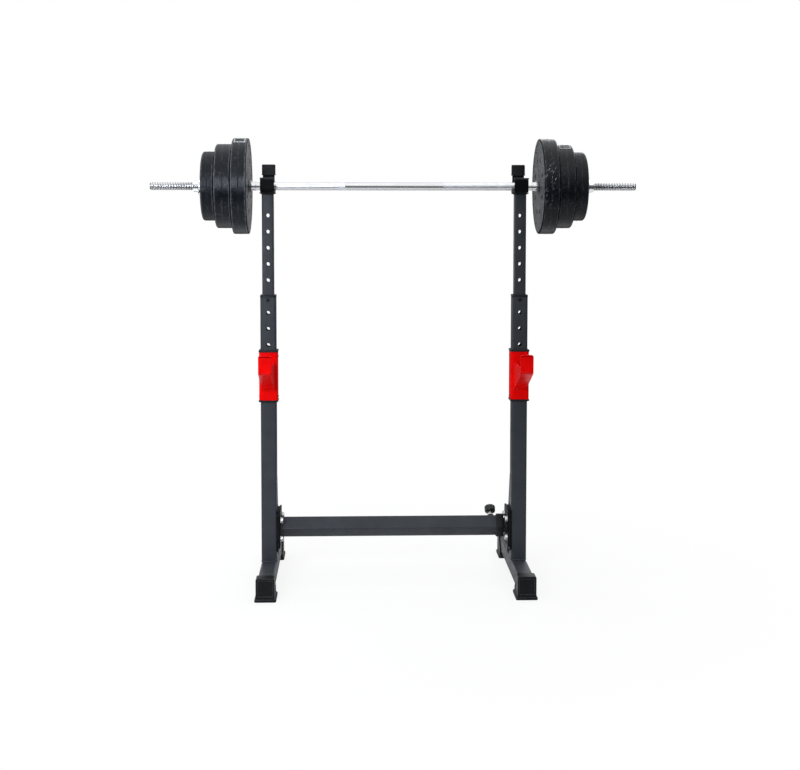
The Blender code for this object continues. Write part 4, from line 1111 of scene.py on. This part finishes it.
@cache
def screw_mesh():
    """Low domed screw head with a cross recess; it stands on x = 0 and points to +X."""
    head = turned(mm([(-0.5, 4.2), (0.3, 4.2), (1.1, 3.7), (1.8, 2.6), (2.1, 1.0)]), 28, closed=False)
    for w, h in ((0.45, 2.2), (2.2, 0.45)):
        cut = mm([(-w, -h), (w, -h), (w, h), (-w, h)])
        head = combine(head, prism(cut, 1.2 * MM, 3 * MM, "X"))
    return resharpen(head)


def build_catch(side, sign):
    p = Pieces(f"{side}_catch", (sign * UPRIGHT_X, UPRIGHT_Y, 0), f"{side}_")
    p.look("catch_sleeve", catch_sleeve_mesh(), RED, bevel=0.5 * MM)
    soften_arm(p.look("catch_arm", catch_arm_mesh(), RED, (0, -CATCH / 2 - GAP, 0)))
    p.look("catch_upper_bush", catch_bush_mesh(), BLACK, (0, 0, CATCH_TOP))
    over = Matrix.Rotation(math.pi, 3, "X").to_quaternion()
    p.look("catch_lower_bush", catch_bush_mesh(), BLACK, (0, 0, CATCH_LOW), turn=over)
    half = ARM_WIDTH / 2 + 0.6 * MM
    front = -CATCH / 2 - 0.9 * MM
    path = [(-half, front, 684 * MM), (-half, front, 606 * MM), (-half + 3 * MM, front, 603.4 * MM)]
    path += [(-x, y, z) for x, y, z in reversed(path)]
    p.weld("weld_arm", RED_PAINT, path, 1.9 * MM, False, 90 + sign)
    ring_path = boss_ring(10.5 * MM, CATCH / 2, CATCH_PIN_Z)
    p.weld("weld_catch_boss", RED_PAINT, ring_path, 1.5 * MM, True, 95 + sign)
    for i, (face, z) in enumerate(((-1, 709), (1, 709), (-1, 584), (1, 584))):
        spot = (face * CATCH / 2, 0, z * MM)
        p.extra(f"bush_screw_{i + 1}", screw_mesh(), SCREW, "black_plastic", spot, turn=facing(face))
    pull_pin(f"{side}_catch_pin", p.at + Vector((0, 0, CATCH_PIN_Z)), TUBE, CATCH, p.body)


# Barbell


def inner_end(node):
    """How far out along the bar a right-hand piece of the barbell starts."""
    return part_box(f"right_{node}")[0][0]


def bar_mesh():
    """Bar with a real screw thread at both ends; its knurl and its threads take their own material."""
    half, pitch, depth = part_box("bar")[1][0], 5.0 * MM, 1.4 * MM
    thread_start = inner_end("star_nut") + 2 * MM
    places = []
    x = -half
    while x < -thread_start:
        places.append(x)
        x += pitch / 8
    places += [-thread_start, -inner_end("bar_collar"), -KNURL_TO, -KNURL_FROM]
    places += [-place for place in reversed(places)]
    segments = 40
    bm = bmesh.new()
    rings = []
    for x in places:
        edge = min(1.0, (half - abs(x)) / (2.2 * MM))
        fade = min(1.0, max(0.0, (abs(x) - thread_start) / (4 * MM)))
        points = []
        for step, angle in enumerate(turns(segments)):
            phase = (x / pitch + step / segments) % 1.0
            wave = min(1.0, max(0.0, 1.35 * abs(2 * phase - 1) - 0.15))
            radius = BAR_RADIUS - depth * wave * fade - 1.6 * MM * (1 - edge)
            points.append(polar(radius, angle))
        rings.append(ring(bm, points, x, "X"))
    skin(bm, rings)
    for face in bm.faces:
        middle = abs(face.calc_center_median().x)
        if thread_start < middle < half - 0.1 * MM:
            face.material_index = 2
        elif KNURL_FROM < middle < KNURL_TO:
            face.material_index = 1
    mesh = mesh_from(bm, 50)
    for material in (CHROME, KNURL, THREAD):
        mesh.materials.append(material)
    return mesh


@cache
def bar_collar_mesh():
    """Inner stop: a slim welded neck and a thin flange that the plates lie against."""
    profile = [(0, 12.65), (0, 13.1), (0.8, 13.7), (11, 13.9), (13.4, 14.4), (14.8, 15.8), (15.2, 16.4),
               (15.8, 17), (19.6, 17), (20.2, 16.4), (20.2, 12.65)]
    return turned(mm(profile), 64, sharp=30)


def plate_profile(end, radius, inner_corner, outer_corner):
    """A plate's section: bore, shallow hub, flat web with a fine ring, rim corners and a mould line."""
    rim = radius - 13 * MM

    def face(corner):
        points = mm([(0.6, 13.4), (0.0, 14.2), (0.0, 20), (0.9, 21.2)])
        points += [(0.9 * MM, rim - 2.2 * MM), (0.6 * MM, rim - 1.2 * MM), (0.0, rim)]
        return points + arc((corner, radius - corner), corner, 180, 90, 8) + [(corner + 1.2 * MM, radius)]

    half = end / 2
    ridge = [(half - 2.2 * MM, radius), (half - 1.3 * MM, radius), (half - 0.6 * MM, radius + 0.5 * MM)]
    far_half = [(end - x, r) for x, r in reversed(face(outer_corner) + ridge)]
    return face(inner_corner) + ridge + far_half


@cache
def weight_plate_mesh(size):
    thickness, radius, inner_corner, outer_corner = (number * MM for number in PLATES[size])
    profile = plate_profile(thickness - 2 * GAP, radius, inner_corner, outer_corner)
    mesh = turned(profile, 128)
    if size == "large":
        centres = [polar(RECESS_REACH, angle) for angle in turns(RECESSES, 0.5)]
        mesh = drilled(mesh, centres, RECESS, -MM, 8 * MM, "X", 24)
    return resharpen(mesh, 36)


def rim_patch(radius, low, high, centre, half_x, angle, spread):
    """A curved pad on a plate's rim, round an angle in degrees."""
    outline = arc((0, 0), radius + high, angle - spread, angle + spread, 10)
    outline += arc((0, 0), radius + low, angle + spread, angle - spread, 10)
    return prism(outline, centre - half_x, centre + half_x, "X")


def plug_meshes(thickness, radius, angle):
    """Filler plug moulded in the rim: a raised frame, and a darker tongue inside it."""
    centre = thickness / 2
    half_x = min(17 * MM, centre - 5 * MM)
    spread = math.degrees(17 * MM / radius)
    border = math.degrees(3.6 * MM / radius)
    outside = rim_patch(radius, -MM, 1.3 * MM, centre, half_x, angle, spread)
    inside = rim_patch(radius, -2 * MM, 3 * MM, centre, half_x - 3 * MM, angle, spread - border)
    tongue = rim_patch(radius, -MM, 0.7 * MM, centre, half_x - 4 * MM, angle, spread - 1.4 * border)
    return combine(outside, inside), tongue


@cache
def star_nut_mesh():
    """Spin lock nut: six rounded lobes against the plates and a stepped hub behind."""
    profile = [(0, 12.9), (0, 20), (0.4, 21.4), (1.4, 22.8), (2.6, 23.4), (9.4, 23.4), (10.8, 22.8),
               (12, 21.4), (12.6, 19.6), (13.4, 18.4), (15, 18), (25.4, 17), (27, 16.4), (27.8, 15.2),
               (28, 14.2), (28, 12.9)]

    def lobed(index, radius, angle, place):
        if not 1 <= index <= 8:
            return radius
        return radius + 6 * MM * (0.5 + 0.5 * math.cos(6 * angle)) ** 0.7

    return turned(mm(profile), 144, radius_at=lobed, sharp=35)


def build_barbell():
    centre = Vector((0, UPRIGHT_Y, BAR_Z))
    Pieces("barbell", centre).look("bar", bar_mesh(), CHROME)
    for side, sign in SIDES:
        flip = facing(sign)
        spot = (sign * inner_end("bar_collar"), 0, 0)
        Pieces("barbell", centre, f"{side}_").look("bar_collar", bar_collar_mesh(), CHROME, spot, turn=flip)
        for size, plug_angle in zip(PLATES, PLUG_ANGLES[side]):
            thickness = PLATES[size][0] * MM - 2 * GAP
            radius = PLATES[size][1] * MM
            start = inner_end(f"{size}_plate")
            spot = centre + Vector((sign * start, 0, 0))
            p = Pieces(f"{side}_{size}_plate_body", spot, f"{side}_{size}_")
            shell = plate_shell(side, size, thickness, radius, start)
            border, tongue = plug_meshes(thickness, radius, plug_angle)
            p.look("plate", weight_plate_mesh(size).copy(), shell, turn=flip)
            p.extra("plug_frame", border, PLUG_FRAME, "plate_shell", bevel=0.3 * MM, turn=flip)
            p.extra("plug", tongue, shell, "plate_shell", bevel=0.2 * MM, turn=flip)
        spot = (sign * inner_end("star_nut"), 0, 0)
        p = Pieces(f"{side}_star_nut_body", centre, f"{side}_")
        p.look("star_nut", star_nut_mesh(), NUT_CHROME, spot, turn=flip)


# Studio


def seen_white(nodes, shader_output, target, share=1.0):
    """Shows the camera plain white, mixed with the given shader, and shows other rays only that shader."""
    seen = nodes.node("LightPath").outputs["Is Camera Ray"]
    kind = "Emission" if target.node.type == "OUTPUT_MATERIAL" else "Background"
    glow = nodes.node(kind, {"Color": (1.0, 1.0, 1.0), "Strength": 1.0}).outputs[0]
    mix = nodes.node("MixShader", {0: nodes.times(seen, share), 1: shader_output, 2: glow})
    nodes.put(target, mix.outputs[0])


def build_world(scene):
    """A room with a bright backdrop and ceiling and a dim front, behind a plain white background."""
    world = bpy.data.worlds.new("studio")
    scene.world = world
    world.use_nodes = True
    nodes = Nodes(world.node_tree)
    ambient = nodes.tree.nodes["Background"]
    ambient.inputs["Strength"].default_value = 1.0
    direction = nodes.node("TexCoord").outputs["Generated"]
    _, y, z = nodes.node("SeparateXYZ", {0: direction}).outputs
    bluish = (1.0, 1.01, 1.05)
    height = nodes.ramp(z, ((0.0, 0.035), (0.1, 0.06), (0.24, 0.27), (0.55, 0.36), (1.0, 0.5)), bluish)
    depth = nodes.ramp(y, ((0.0, 0.0), (0.25, 0.05), (0.6, 0.6), (0.8, 0.85), (1.0, 0.62)), bluish)
    nodes.put(ambient.inputs["Color"], nodes.blend(1.0, height, depth, blend_type="LIGHTEN"))
    seen_white(nodes, ambient.outputs[0], nodes.tree.nodes["World Output"].inputs["Surface"])


def build_floor(scene):
    """White floor: the camera sees it plain white far from the object, and with its soft shadow near it."""
    s = Shader("studio_floor", (0.8, 0.8, 0.8), 0.9)
    reach = s.node("VectorMath", {0: s.place}, operation="LENGTH").outputs["Value"]
    s.feed("Base Color", s.ramp(s.times(reach, 0.3), ((0.44, 0.76), (0.64, 0.05))))
    share = s.span(reach, 0.6, 1.3, 0.85, 1.0)
    seen_white(s, s.out.outputs[0], s.tree.nodes["Material Output"].inputs["Surface"], share)
    size = 14.0
    bm = bmesh.new()
    bm.faces.new(ring(bm, ((-size, -size), (size, -size), (size, size), (-size, size)), -0.4 * MM, "Z"))
    mesh = bpy.data.meshes.new("floor")
    bm.to_mesh(mesh)
    bm.free()
    mesh.materials.append(s.material)
    floor = bpy.data.objects.new("floor", mesh)
    scene.collection.objects.link(floor)


def build_lamps(scene):
    for name, place, target, size_x, size_y, power in (
        ("key", (-1.3, -3.1, 1.6), (-0.68, 0.0, 0.6), 0.9, 0.9, 11.8),
        ("side", (-3.0, -0.6, 1.5), (0.0, 0.0, 0.8), 1.4, 1.8, 22.0),
        ("top", (0.0, -0.8, 3.6), (0.0, -0.79, 0.6), 7.0, 5.4, 115.0),
        ("front", (0.18, -6.0, 4.1), (0.18, 0.0, 4.1), 2.4, 5.7, 30.0),
        ("back", (1.6, 2.8, 2.2), (0.0, 0.0, 0.8), 1.6, 1.6, 24.0),
        ("back_left", (-2.2, 2.6, 1.4), (0.0, 0.0, 0.7), 1.4, 1.8, 18.0),
    ):
        lamp = bpy.data.lights.new(name, "AREA")
        lamp.shape = "RECTANGLE"
        lamp.size = size_x
        lamp.size_y = size_y
        lamp.energy = power
        if name == "key":
            lamp.spread = math.radians(66)
            lamp.color = (0.87, 0.96, 1.11)
        obj = bpy.data.objects.new(name, lamp)
        obj.location = place
        obj.visible_camera = False
        obj.rotation_mode = "QUATERNION"
        obj.rotation_quaternion = (Vector(target) - Vector(place)).to_track_quat("-Z", "Y")
        scene.collection.objects.link(obj)


def build_camera(scene):
    """The photograph's viewpoint: below the bar, left of the middle and turned a little to the right."""
    camera = bpy.data.cameras.new("camera")
    camera.sensor_width = 36.0
    camera.lens = 61.0
    camera.shift_y = -0.12
    camera.clip_start = 0.1
    camera.clip_end = 60.0
    obj = bpy.data.objects.new("camera", camera)
    obj.location = (-0.131, UPRIGHT_Y - 4.2, 1.182)
    yaw, pitch, roll = (math.radians(angle) for angle in (2.03, -3.61, 0.05))
    look_along = Vector((math.sin(yaw) * math.cos(pitch), math.cos(yaw) * math.cos(pitch), math.sin(pitch)))
    right = Vector((math.cos(yaw), -math.sin(yaw), 0.0))
    up = right.cross(look_along)
    tilted_right = math.cos(roll) * right + math.sin(roll) * up
    tilted_up = -math.sin(roll) * right + math.cos(roll) * up
    rotation = Matrix((tilted_right, tilted_up, -look_along)).transposed()
    obj.rotation_mode = "QUATERNION"
    obj.rotation_quaternion = rotation.to_quaternion()
    scene.collection.objects.link(obj)
    scene.camera = obj


def main():
    for side, sign in SIDES:
        build_side_frame(side, sign)
        build_post(side, sign)
        build_catch(side, sign)
    build_cross_tube()
    build_barbell()
    scene = bpy.context.scene
    scene.view_settings.view_transform = "Standard"
    build_world(scene)
    build_floor(scene)
    build_lamps(scene)
    build_camera(scene)


main()
